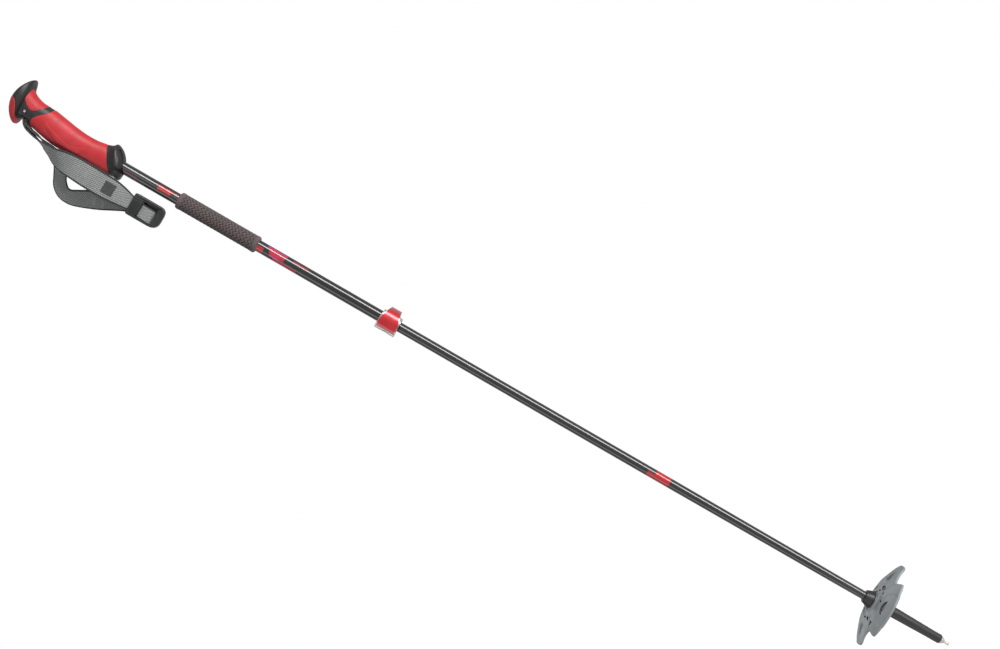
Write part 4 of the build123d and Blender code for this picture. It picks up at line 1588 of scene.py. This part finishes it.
    def build(self, finishes: Finishes) -> None:
        """Cut the openings and set a black plug in the oval one, a dark piece that stands in for shade inside
        the hole.

        Args:
            finishes: the pole's finishes.
        """
        # Slot 1 is the near-black wall finish: painted shade inside the openings.
        piece = make_piece("snow_basket", [self.skin()], [finishes.grey, finishes.hole_shade], 32.0)
        cut(piece, self.openings(), 32.0)
        seat(piece, "snow_basket", "grey_plastic", "basket")
        # The black plug makes the oval hole read dark: a dark piece put where the hole would hold shade.
        x, y = self.eye
        top = float(self.web_top(np.array(x), np.array(y)))
        plug = moved(turned([(0.0, -3.6), (2.76, -3.6), (2.76, -1.3), (2.2, -1.0), (0.0, -0.8)], 36),
                     (x, y, top), Matrix.Diagonal((1.0, 2.0, 1.0)))
        seat(make_piece("basket_shade_plug", [plug], [finishes.black]), "snow_basket", "black_plastic")


# ---------------------------------------------------------------- strap
# Stations are x, y and height of the centre line, width, and turn of the face in degrees.
STRAP_DROP = -1.6
FRONT_STRAND = (
    (-1.5, 0.0, 129.8, 17.0, 0.0), (-8.0, 0.0, 127.8, 17.0, 0.0), (-13.0, 0.0, 125.0, 17.0, 0.0),
    (-16.6, 0.0, 120.5, 17.0, 0.0), (-19.2, 0.0, 112.0, 18.0, 0.0), (-21.8, -0.5, 103.0, 19.0, 6.0),
    (-24.6, -2.2, 94.0, 20.5, 22.0), (-26.6, -4.5, 84.0, 22.8, 36.0), (-28.6, -6.8, 73.0, 25.2, 52.0),
    (-28.5, -8.2, 61.0, 27.0, 70.0), (-28.1, -9.0, 48.0, 27.6, 82.0), (-28.7, -9.2, 30.0, 28.0, 90.0),
    (-29.1, -9.0, 12.0, 28.0, 90.0), (-29.2, -8.2, -4.0, 26.6, 90.0), (-29.9, -6.6, -16.0, 22.8, 90.0),
    (-30.9, -4.6, -29.0, 17.6, 90.0), (-31.0, -4.4, -39.0, 17.2, 90.0),
)
REAR_STRAND = (
    (-1.5, 0.0, 126.0, 17.0, 0.0), (-7.0, 0.0, 125.2, 17.0, 0.0), (-11.6, 0.0, 123.0, 17.0, 0.0),
    (-14.4, 0.0, 118.2, 17.0, 0.0), (-16.8, 0.4, 108.0, 18.0, 0.0), (-19.4, 1.6, 98.0, 18.6, 8.0),
    (-22.0, 4.0, 87.0, 19.0, 20.0), (-25.6, 7.0, 78.0, 19.0, 34.0), (-30.4, 9.6, 71.5, 18.0, 60.0),
    (-37.6, 11.4, 67.4, 16.6, 80.0), (-46.2, 12.4, 63.4, 16.0, 85.0), (-55.0, 12.8, 58.0, 17.4, 80.0),
    (-60.6, 12.8, 50.0, 18.6, 68.0), (-61.2, 12.4, 41.0, 20.0, 62.0), (-57.6, 11.8, 31.0, 22.0, 62.0),
    (-52.9, 10.4, 20.6, 23.0, 66.0), (-47.6, 8.0, 8.0, 22.0, 74.0), (-40.6, 4.4, -8.6, 19.4, 82.0),
    (-36.0, 2.0, -20.0, 17.8, 88.0), (-32.8, 0.4, -30.0, 17.2, 90.0), (-32.0, 0.6, -39.0, 17.0, 90.0),
)
TURN_STRAND = (
    (-33.0, -1.2, -39.4, 17.2, 90.0), (-33.0, -3.4, -41.8, 17.4, 90.0), (-33.1, -5.2, -44.0, 17.6, 90.0),
    (-33.4, -5.9, -50.0, 17.8, 90.0), (-33.8, -5.5, -56.0, 18.0, 90.0), (-34.0, -3.4, -59.4, 18.0, 90.0),
    (-34.0, -0.6, -60.6, 18.0, 90.0),
)


@dataclass
class Tape:
    """A length of webbing: stations of x, y, height, width and turn of its face from -X towards -Y."""

    stations: tuple
    drop: float = STRAP_DROP
    half_thick: float = 0.72
    bead: float = 0.86
    bead_pitch: float = 1.9
    nominal: float = 12.5

    def lie(self, along: Array) -> tuple[Array, Array, Array, Array]:
        """Centre line, face normal, side direction and width at shares of the length.

        The path is a smooth curve through the stations, spaced by their distance. The face is
        (-cos turn, -sin turn, 0) made square to the path, and the side is the path crossed with it.

        Args:
            along: shares of the length.

        Returns:
            Centre, face, side and width at each.
        """
        table = np.array(self.stations)
        step = np.r_[0, np.cumsum(np.linalg.norm(np.diff(table[:, :3], axis=0), axis=1))]
        row = smooth(along * step[-1], step, table)
        ahead = smooth(np.clip(along * step[-1] + 0.4, 0, step[-1]), step, table)
        behind = smooth(np.clip(along * step[-1] - 0.4, 0, step[-1]), step, table)
        way = unit(ahead[:, :3] - behind[:, :3])
        turn = np.radians(row[:, 4])
        face = np.stack([-np.cos(turn), -np.sin(turn), 0 * turn], -1)
        face = unit(face - way * np.sum(face * way, axis=1)[:, None])
        centre = row[:, :3] + (0.0, 0.0, GRIP_Z + self.drop)
        return centre, face, np.cross(way, face), row[:, 3]

    def length(self) -> float:
        """Length of the centre line in millimetres."""
        centre = self.lie(np.linspace(0, 1, 400))[0]
        return float(np.linalg.norm(np.diff(centre, axis=0), axis=1).sum())

    def place(self, along: Array, across: Array, lift: Array) -> Array:
        """Points on the tape: share of the length, millimetres across and millimetres off the face."""
        centre, face, side, _ = self.lie(along)
        return centre + side * across[:, None] + face * lift[:, None]

    def skin(self, pitch: float = 0.42) -> Skin:
        """Ribbon with a beaded edge each side.

        A closed section runs over the face, round a bead, under and round the other bead. Beads swell and
        shrink along the tape where the edge yarn turns, and the body is cupped a little across its width.

        Args:
            pitch: spacing of the rows in millimetres.

        Returns:
            The ribbon, with slot 1 on its edges.
        """
        total = self.length()
        along = np.linspace(0, 1, int(total / pitch))
        centre, face, side, width = self.lie(along)
        flat = np.array([-1.0, -0.91, -0.78, -0.6, -0.4, -0.2, 0.0, 0.2, 0.4, 0.6, 0.78, 0.91, 1.0])
        arc = np.linspace(math.pi / 2, -math.pi / 2, 9)[1:-1]
        share = np.r_[flat, np.ones(7), flat[::-1], -np.ones(7), flat[:1]]
        out = np.r_[0 * flat, np.cos(arc), 0 * flat, -np.cos(arc), 0]
        lift = np.r_[1 + 0 * flat, np.sin(arc), -1 + 0 * flat, np.sin(arc[::-1]), 1]
        distance = along * total
        bead = 1.0 + 0.20 * np.sin(TAU * distance / self.bead_pitch)[:, None]
        edge = ramp(np.abs(share), 0.88, 0.99)
        across = share * (width / 2 - self.bead)[:, None] + out * self.bead * bead
        thick = self.half_thick * (1 - edge) + self.bead * edge * (0.85 + 0.15 * bead)
        cup = 0.5 * (np.abs(share) ** 2) * ramp(width[:, None], 17.5, 24.0)
        off = lift * thick - cup
        points = centre[:, None] + side[:, None] * across[..., None] + face[:, None] * off[..., None]
        points = capped(points, centre[[0, -1]])
        distance = np.r_[distance[:1], distance, distance[-1:]][:, None]
        chart = np.stack(np.broadcast_arrays(distance, share * self.nominal + out * 0.9), -1)
        outer = np.abs(share[1:] + share[:-1]) / 2 > 0.94
        return Skin(points, chart, outer.astype(int))


@dataclass
class Buckle:
    """Moulded slide buckle: tapered block with a window, two mouths, slanted ribs, pits and a rail."""

    left: float = -44.5
    right: float = -17.1
    top: float = -29.4
    low: float = -70.4
    front: float = -7.3
    back: float = 3.7
    rounds: tuple = (11.0, 9.0, 2.4, 2.4)
    thinned: float = 0.34
    window: tuple = (-41.9, -21.5, -61.8, -41.8)
    mouths: tuple = ((-40.4, -21.4, -6.0, -3.2), (-43.2, -22.6, -1.4, 2.6))
    grip_pitch: float = 2.1
    grip_slope: float = 1.3
    pit_slope: float = 1.4
    grip_radius: float = 0.62
    rail_radius: float = 1.35

    def body(self) -> Skin:
        """Plate with unequal corners, thinned about its middle towards the free end.

        Returns:
            The block before it is cut.
        """
        outline = rectangle(self.left, self.right, self.low, self.top, self.rounds)
        body = slab(outline, self.front, self.back, 1.0, Axis.Y)
        thin = 1.0 - self.thinned * ramp(-body.points[..., 2], 57.0, 71.0)
        middle = (self.front + self.back) / 2
        body.points[..., 1] = middle + (body.points[..., 1] - middle) * thin
        return body

    def ribs(self) -> list[Skin]:
        """Five slanted ribs over the window and the rail beside it.

        Returns:
            The bars.
        """
        skins = []
        face = self.front - 0.05
        for index in range(5):
            z = -31.3 - self.grip_pitch * index
            skins.append(capsule((-39.6, face, z - self.grip_slope), (-24.2, face, z + self.grip_slope),
                                 self.grip_radius))
        rail = self.front + 0.3
        skins.append(capsule((-18.7, rail, -31.5), (-18.7, rail, -64.0), self.rail_radius, 20))
        return skins

    def hollows(self) -> list[Skin]:
        """Cutters of the window, the mouths that the tape runs through, and the pits beside the ribs.

        Returns:
            The cutters.
        """
        cutters = [slab(rectangle(*self.window, 1.0), -14.0, 1.9, 0.2, Axis.Y)]
        for mouth in self.mouths:
            cutters.append(slab(rectangle(*mouth, 0.6), -43.5, -27.0, 0.1))
        for index in range(4):
            for x, slope in ((-41.0, -self.pit_slope), (-22.8, self.pit_slope)):
                z = -32.4 - self.grip_pitch * index + slope
                ends = (x, self.front - 1.2, z), (x, self.front + 1.4, z)
                cutters.append(capsule(*ends, self.grip_radius, 10))
        return cutters

    def build(self, finishes: Finishes) -> None:
        """Lift every shape to the grip's height, cut the block and seat it with its ribs.

        Args:
            finishes: the pole's finishes.
        """
        body, *ribs = (moved(skin, (0.0, 0.0, GRIP_Z)) for skin in [self.body(), *self.ribs()])
        piece = make_piece("buckle", [body], [finishes.buckle], 35.0)
        cut(piece, [moved(skin, (0.0, 0.0, GRIP_Z)) for skin in self.hollows()], 35.0)
        seat(make_piece("buckle_ribs", ribs, [finishes.buckle], 60.0), "strap", "black_plastic")
        seat(piece, "strap", "black_plastic", "strap_buckle")


@dataclass
class Strap:
    """Wrist strap: two strands from the pin in the head, stitching, a woven label and the slide buckle."""

    front: Tape
    rear: Tape
    hinge_start: tuple = (-11.0, 0.0, GRIP_Z + 124.0)
    hinge_end: tuple = (-19.0, 0.0, GRIP_Z + 108.0)
    label_span: tuple = (0.735, 0.812)
    label_half: float = 7.0
    stitch_rows: tuple = (0.716, 0.770)
    stitch_half: float = 8.0
    stitch_swing: float = 0.011
    stitch_turns: int = 9
    thread_radius: float = 0.26

    def strand(self, name: str, tape: Tape, finishes: Finishes, nodes: tuple[str, ...]) -> bpy.types.Object:
        """One strand along its tape.

        Args:
            name: name of the piece.
            tape: its shape.
            finishes: the pole's finishes.
            nodes: CAD nodes that it stands for.

        Returns:
            The piece.
        """
        piece = make_piece(name, [tape.skin()], [finishes.webbing, finishes.selvedge], 70.0)
        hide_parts(*nodes)
        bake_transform(piece)
        LOG.info("%s is %.0f mm long", name, tape.length())
        return piece

    def stitching(self, tape: Tape, finishes: Finishes) -> bpy.types.Object:
        """Two zigzag rows on each face: the way along the tape is a triangle wave of the way across it.

        Args:
            tape: tape that is sewn.
            finishes: the pole's finishes.

        Returns:
            The piece.
        """
        skins = []
        for middle in self.stitch_rows:
            wave = np.linspace(0, 1, 181)
            swing = 2 * np.abs(2 * np.mod(wave * self.stitch_turns, 1) - 1) - 1
            across = self.stitch_half * (2 * wave - 1)
            along = middle + self.stitch_swing * swing
            for lift in (0.62, -0.86):
                skins.append(tube_along(tape.place(along, across, np.full(181, lift)), self.thread_radius, 8))
        return make_piece("stitching", skins, [finishes.thread], 60.0)

    def label(self, tape: Tape, finishes: Finishes) -> bpy.types.Object:
        """Plain woven patch on the face of the front strand.

        Args:
            tape: tape that carries it.
            finishes: the pole's finishes.

        Returns:
            The piece.
        """
        shares = np.linspace(*self.label_span, 30)
        breadth = np.linspace(-self.label_half, self.label_half, 24)
        along, across = np.meshgrid(shares, breadth, indexing="ij")
        faces = (tape.place(along.ravel(), across.ravel(), np.full(along.size, lift)) for lift in (1.0, 0.35))
        outer, inner = (face.reshape(30, 24, 3) for face in faces)
        ring = np.concatenate([outer, inner[:, ::-1], outer[:, :1]], axis=1)
        points = capped(ring, ring[[0, -1]].mean(axis=1))
        u = np.concatenate([across, across[:, ::-1], across[:, :1]], axis=1)[0]
        v = np.r_[shares[0], shares, shares[-1]] * tape.length()
        chart = np.stack(np.meshgrid(v, u, indexing="ij"), -1)
        return make_piece("woven_patch", [Skin(points, chart)], [finishes.label], 60.0)

    def build(self, finishes: Finishes) -> None:
        """Strands, what is sewn on them, the buckle, and the turn of webbing in its window.

        Args:
            finishes: the pole's finishes.
        """
        front = self.strand("strap_front_tape", self.front, finishes, ("strap_front", "strap_anchor"))
        rear = self.strand("strap_rear_tape", self.rear, finishes, ("strap_rear",))
        stitches = self.stitching(self.rear, finishes)
        seat(stitches, "strap", "webbing")
        patch = self.label(self.front, finishes)
        seat(patch, "strap", "webbing")
        window = Tape(TURN_STRAND, 0.0)
        turn = make_piece("strap_turn", [window.skin()], [finishes.webbing, finishes.selvedge], 70.0)
        seat(turn, "strap", "webbing", "strap_tail")
        Buckle().build(finishes)


# ---------------------------------------------------------------- studio
@dataclass
class Studio:
    """Pale floor, soft boxes, a white surround and the camera.

    Camera and boxes are in metres; a box is its name, place, aim, width, height and glow.
    """

    focal: float = 55.08
    place: tuple = (0.0611, -1.777, 0.6366)
    ambient: Colour = (0.40, 0.40, 0.41)
    boxes: tuple = (("strip", (1.25, -1.05, 0.60), (0.0, 0.0, 0.62), 0.46, 3.2, 12.0),
                    ("side", (-1.7, -1.1, 0.55), (0.0, 0.0, 0.62), 1.0, 2.8, 1.3),
                    ("rear", (-0.6, 2.6, 1.2), (0.0, 0.0, 0.7), 1.6, 1.6, 0.9),
                    ("front", (0.1, -2.6, 1.9), (0.0, 0.0, 0.8), 1.0, 1.0, 1.2))
    floor_radius: float = 900.0
    floor_z: float = -1.0

    def camera(self) -> None:
        """Level camera, rolled so that the pole runs down to the right."""
        data = bpy.data.cameras.new("camera")
        data.lens, data.sensor_width, data.clip_end = self.focal, 36.0, 50.0
        camera = bpy.data.objects.new("camera", data)
        bpy.context.scene.collection.objects.link(camera)
        half, tall = 0.5, math.sqrt(0.75)
        camera.matrix_world = Matrix(((half, tall, 0, self.place[0]), (0, 0, -1, self.place[1]),
                                      (-tall, half, 0, self.place[2]), (0, 0, 0, 1)))
        bpy.context.scene.camera = camera

    def box(self, name: str, place: Sequence[float], aim: Sequence[float], width: float, height: float,
            glow: float) -> None:
        """Rectangular soft box of even glow; its power is glow x pi x area.

        Args:
            name: name of the light.
            place: its middle.
            aim: point that it faces.
            width: its width.
            height: its height.
            glow: how bright its face is.
        """
        data = bpy.data.lights.new(name, "AREA")
        data.shape, data.size, data.size_y = "RECTANGLE", width, height
        data.energy = glow * math.pi * width * height
        light = bpy.data.objects.new(name, data)
        bpy.context.scene.collection.objects.link(light)
        back = unit(np.asarray(place, float) - np.asarray(aim, float))
        side = unit(np.cross((0.0, 0.0, 1.0), back))
        up = np.cross(back, side)
        turn = np.eye(4)
        turn[:3, 0], turn[:3, 1], turn[:3, 2], turn[:3, 3] = side, up, back, place
        light.matrix_world = Matrix(turn.tolist())

    def world(self) -> None:
        """White where it is seen, a softer grey where it lights and mirrors."""
        world = bpy.data.worlds.new("surround")
        bpy.context.scene.world = world
        world.use_nodes = True
        tree = world.node_tree
        tree.nodes.clear()
        path, mix = tree.nodes.new("ShaderNodeLightPath"), tree.nodes.new("ShaderNodeMixShader")
        seen, lit = tree.nodes.new("ShaderNodeBackground"), tree.nodes.new("ShaderNodeBackground")
        out = tree.nodes.new("ShaderNodeOutputWorld")
        seen.inputs["Color"].default_value = (1.0, 1.0, 1.0, 1.0)
        lit.inputs["Color"].default_value = (*self.ambient, 1.0)
        tree.links.new(path.outputs["Is Camera Ray"], mix.inputs[0])
        tree.links.new(lit.outputs[0], mix.inputs[1])
        tree.links.new(seen.outputs[0], mix.inputs[2])
        tree.links.new(mix.outputs[0], out.inputs[0])

    def floor(self) -> None:
        """Pale disc under the tip that fades out into the surround."""
        angle = np.linspace(0, TAU, 65)
        radius = np.linspace(0, self.floor_radius, 10)[:, None]
        level = self.floor_z + 0 * radius * angle
        points = np.stack([radius * np.cos(angle), radius * np.sin(angle), level], -1)
        recipe = Recipe("pale_floor")
        length = recipe.add("ShaderNodeVectorMath", operation="LENGTH")
        recipe.feed(length.inputs[0], recipe.place)
        fade = recipe.span(length.outputs["Value"], 0.10, 0.60, 0.75, 0.0)
        recipe.finish(Base_Color=(0.90, 0.90, 0.90), Roughness=0.7, Alpha=fade,
                      Emission_Color=(1.0, 1.0, 1.0), Emission_Strength=0.45)
        make_piece("floor", [Skin(points)], [recipe.material])

    def build(self) -> None:
        """Set up everything that isn't the pole."""
        self.camera()
        self.world()
        for name, *sizes in self.boxes:
            self.box(name, *sizes)
        self.floor()
        bpy.context.scene.view_settings.view_transform = "Standard"


def dress(node: str, finish: bpy.types.Material) -> None:
    """Give a carried-over part its finish in every slot.

    Args:
        node: name of the CAD node.
        finish: its material.
    """
    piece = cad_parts[node]
    if not piece.data.materials:
        piece.data.materials.append(finish)
    for slot in piece.material_slots:
        slot.material = finish


def main() -> None:
    """Build the pole from tip to grip, then the studio."""
    logging.basicConfig(level=logging.INFO, format="%(name)s: %(message)s")
    finishes = Finishes()
    Tip().build(finishes)
    Basket().build(finishes)
    shafts = Shafts()
    shafts.tubes(finishes)
    shafts.foam(finishes)
    Lock().build(finishes)
    Grip(Head()).build(finishes)
    Strap(Tape(FRONT_STRAND), Tape(REAR_STRAND)).build(finishes)
    carried = {"strap_pin": finishes.steel, "clamp_band": finishes.band, "clamp_axle": finishes.silver,
               "clamp_washer": finishes.silver, "tension_screw": finishes.silver,
               "shaft_guide": finishes.black, "tip_holder": finishes.steel, "carbide_pin": finishes.carbide}
    for node, finish in carried.items():
        dress(node, finish)
        LOG.info("%s is dressed", node)
    Studio().build()


if __name__ == "__main__":
    main()
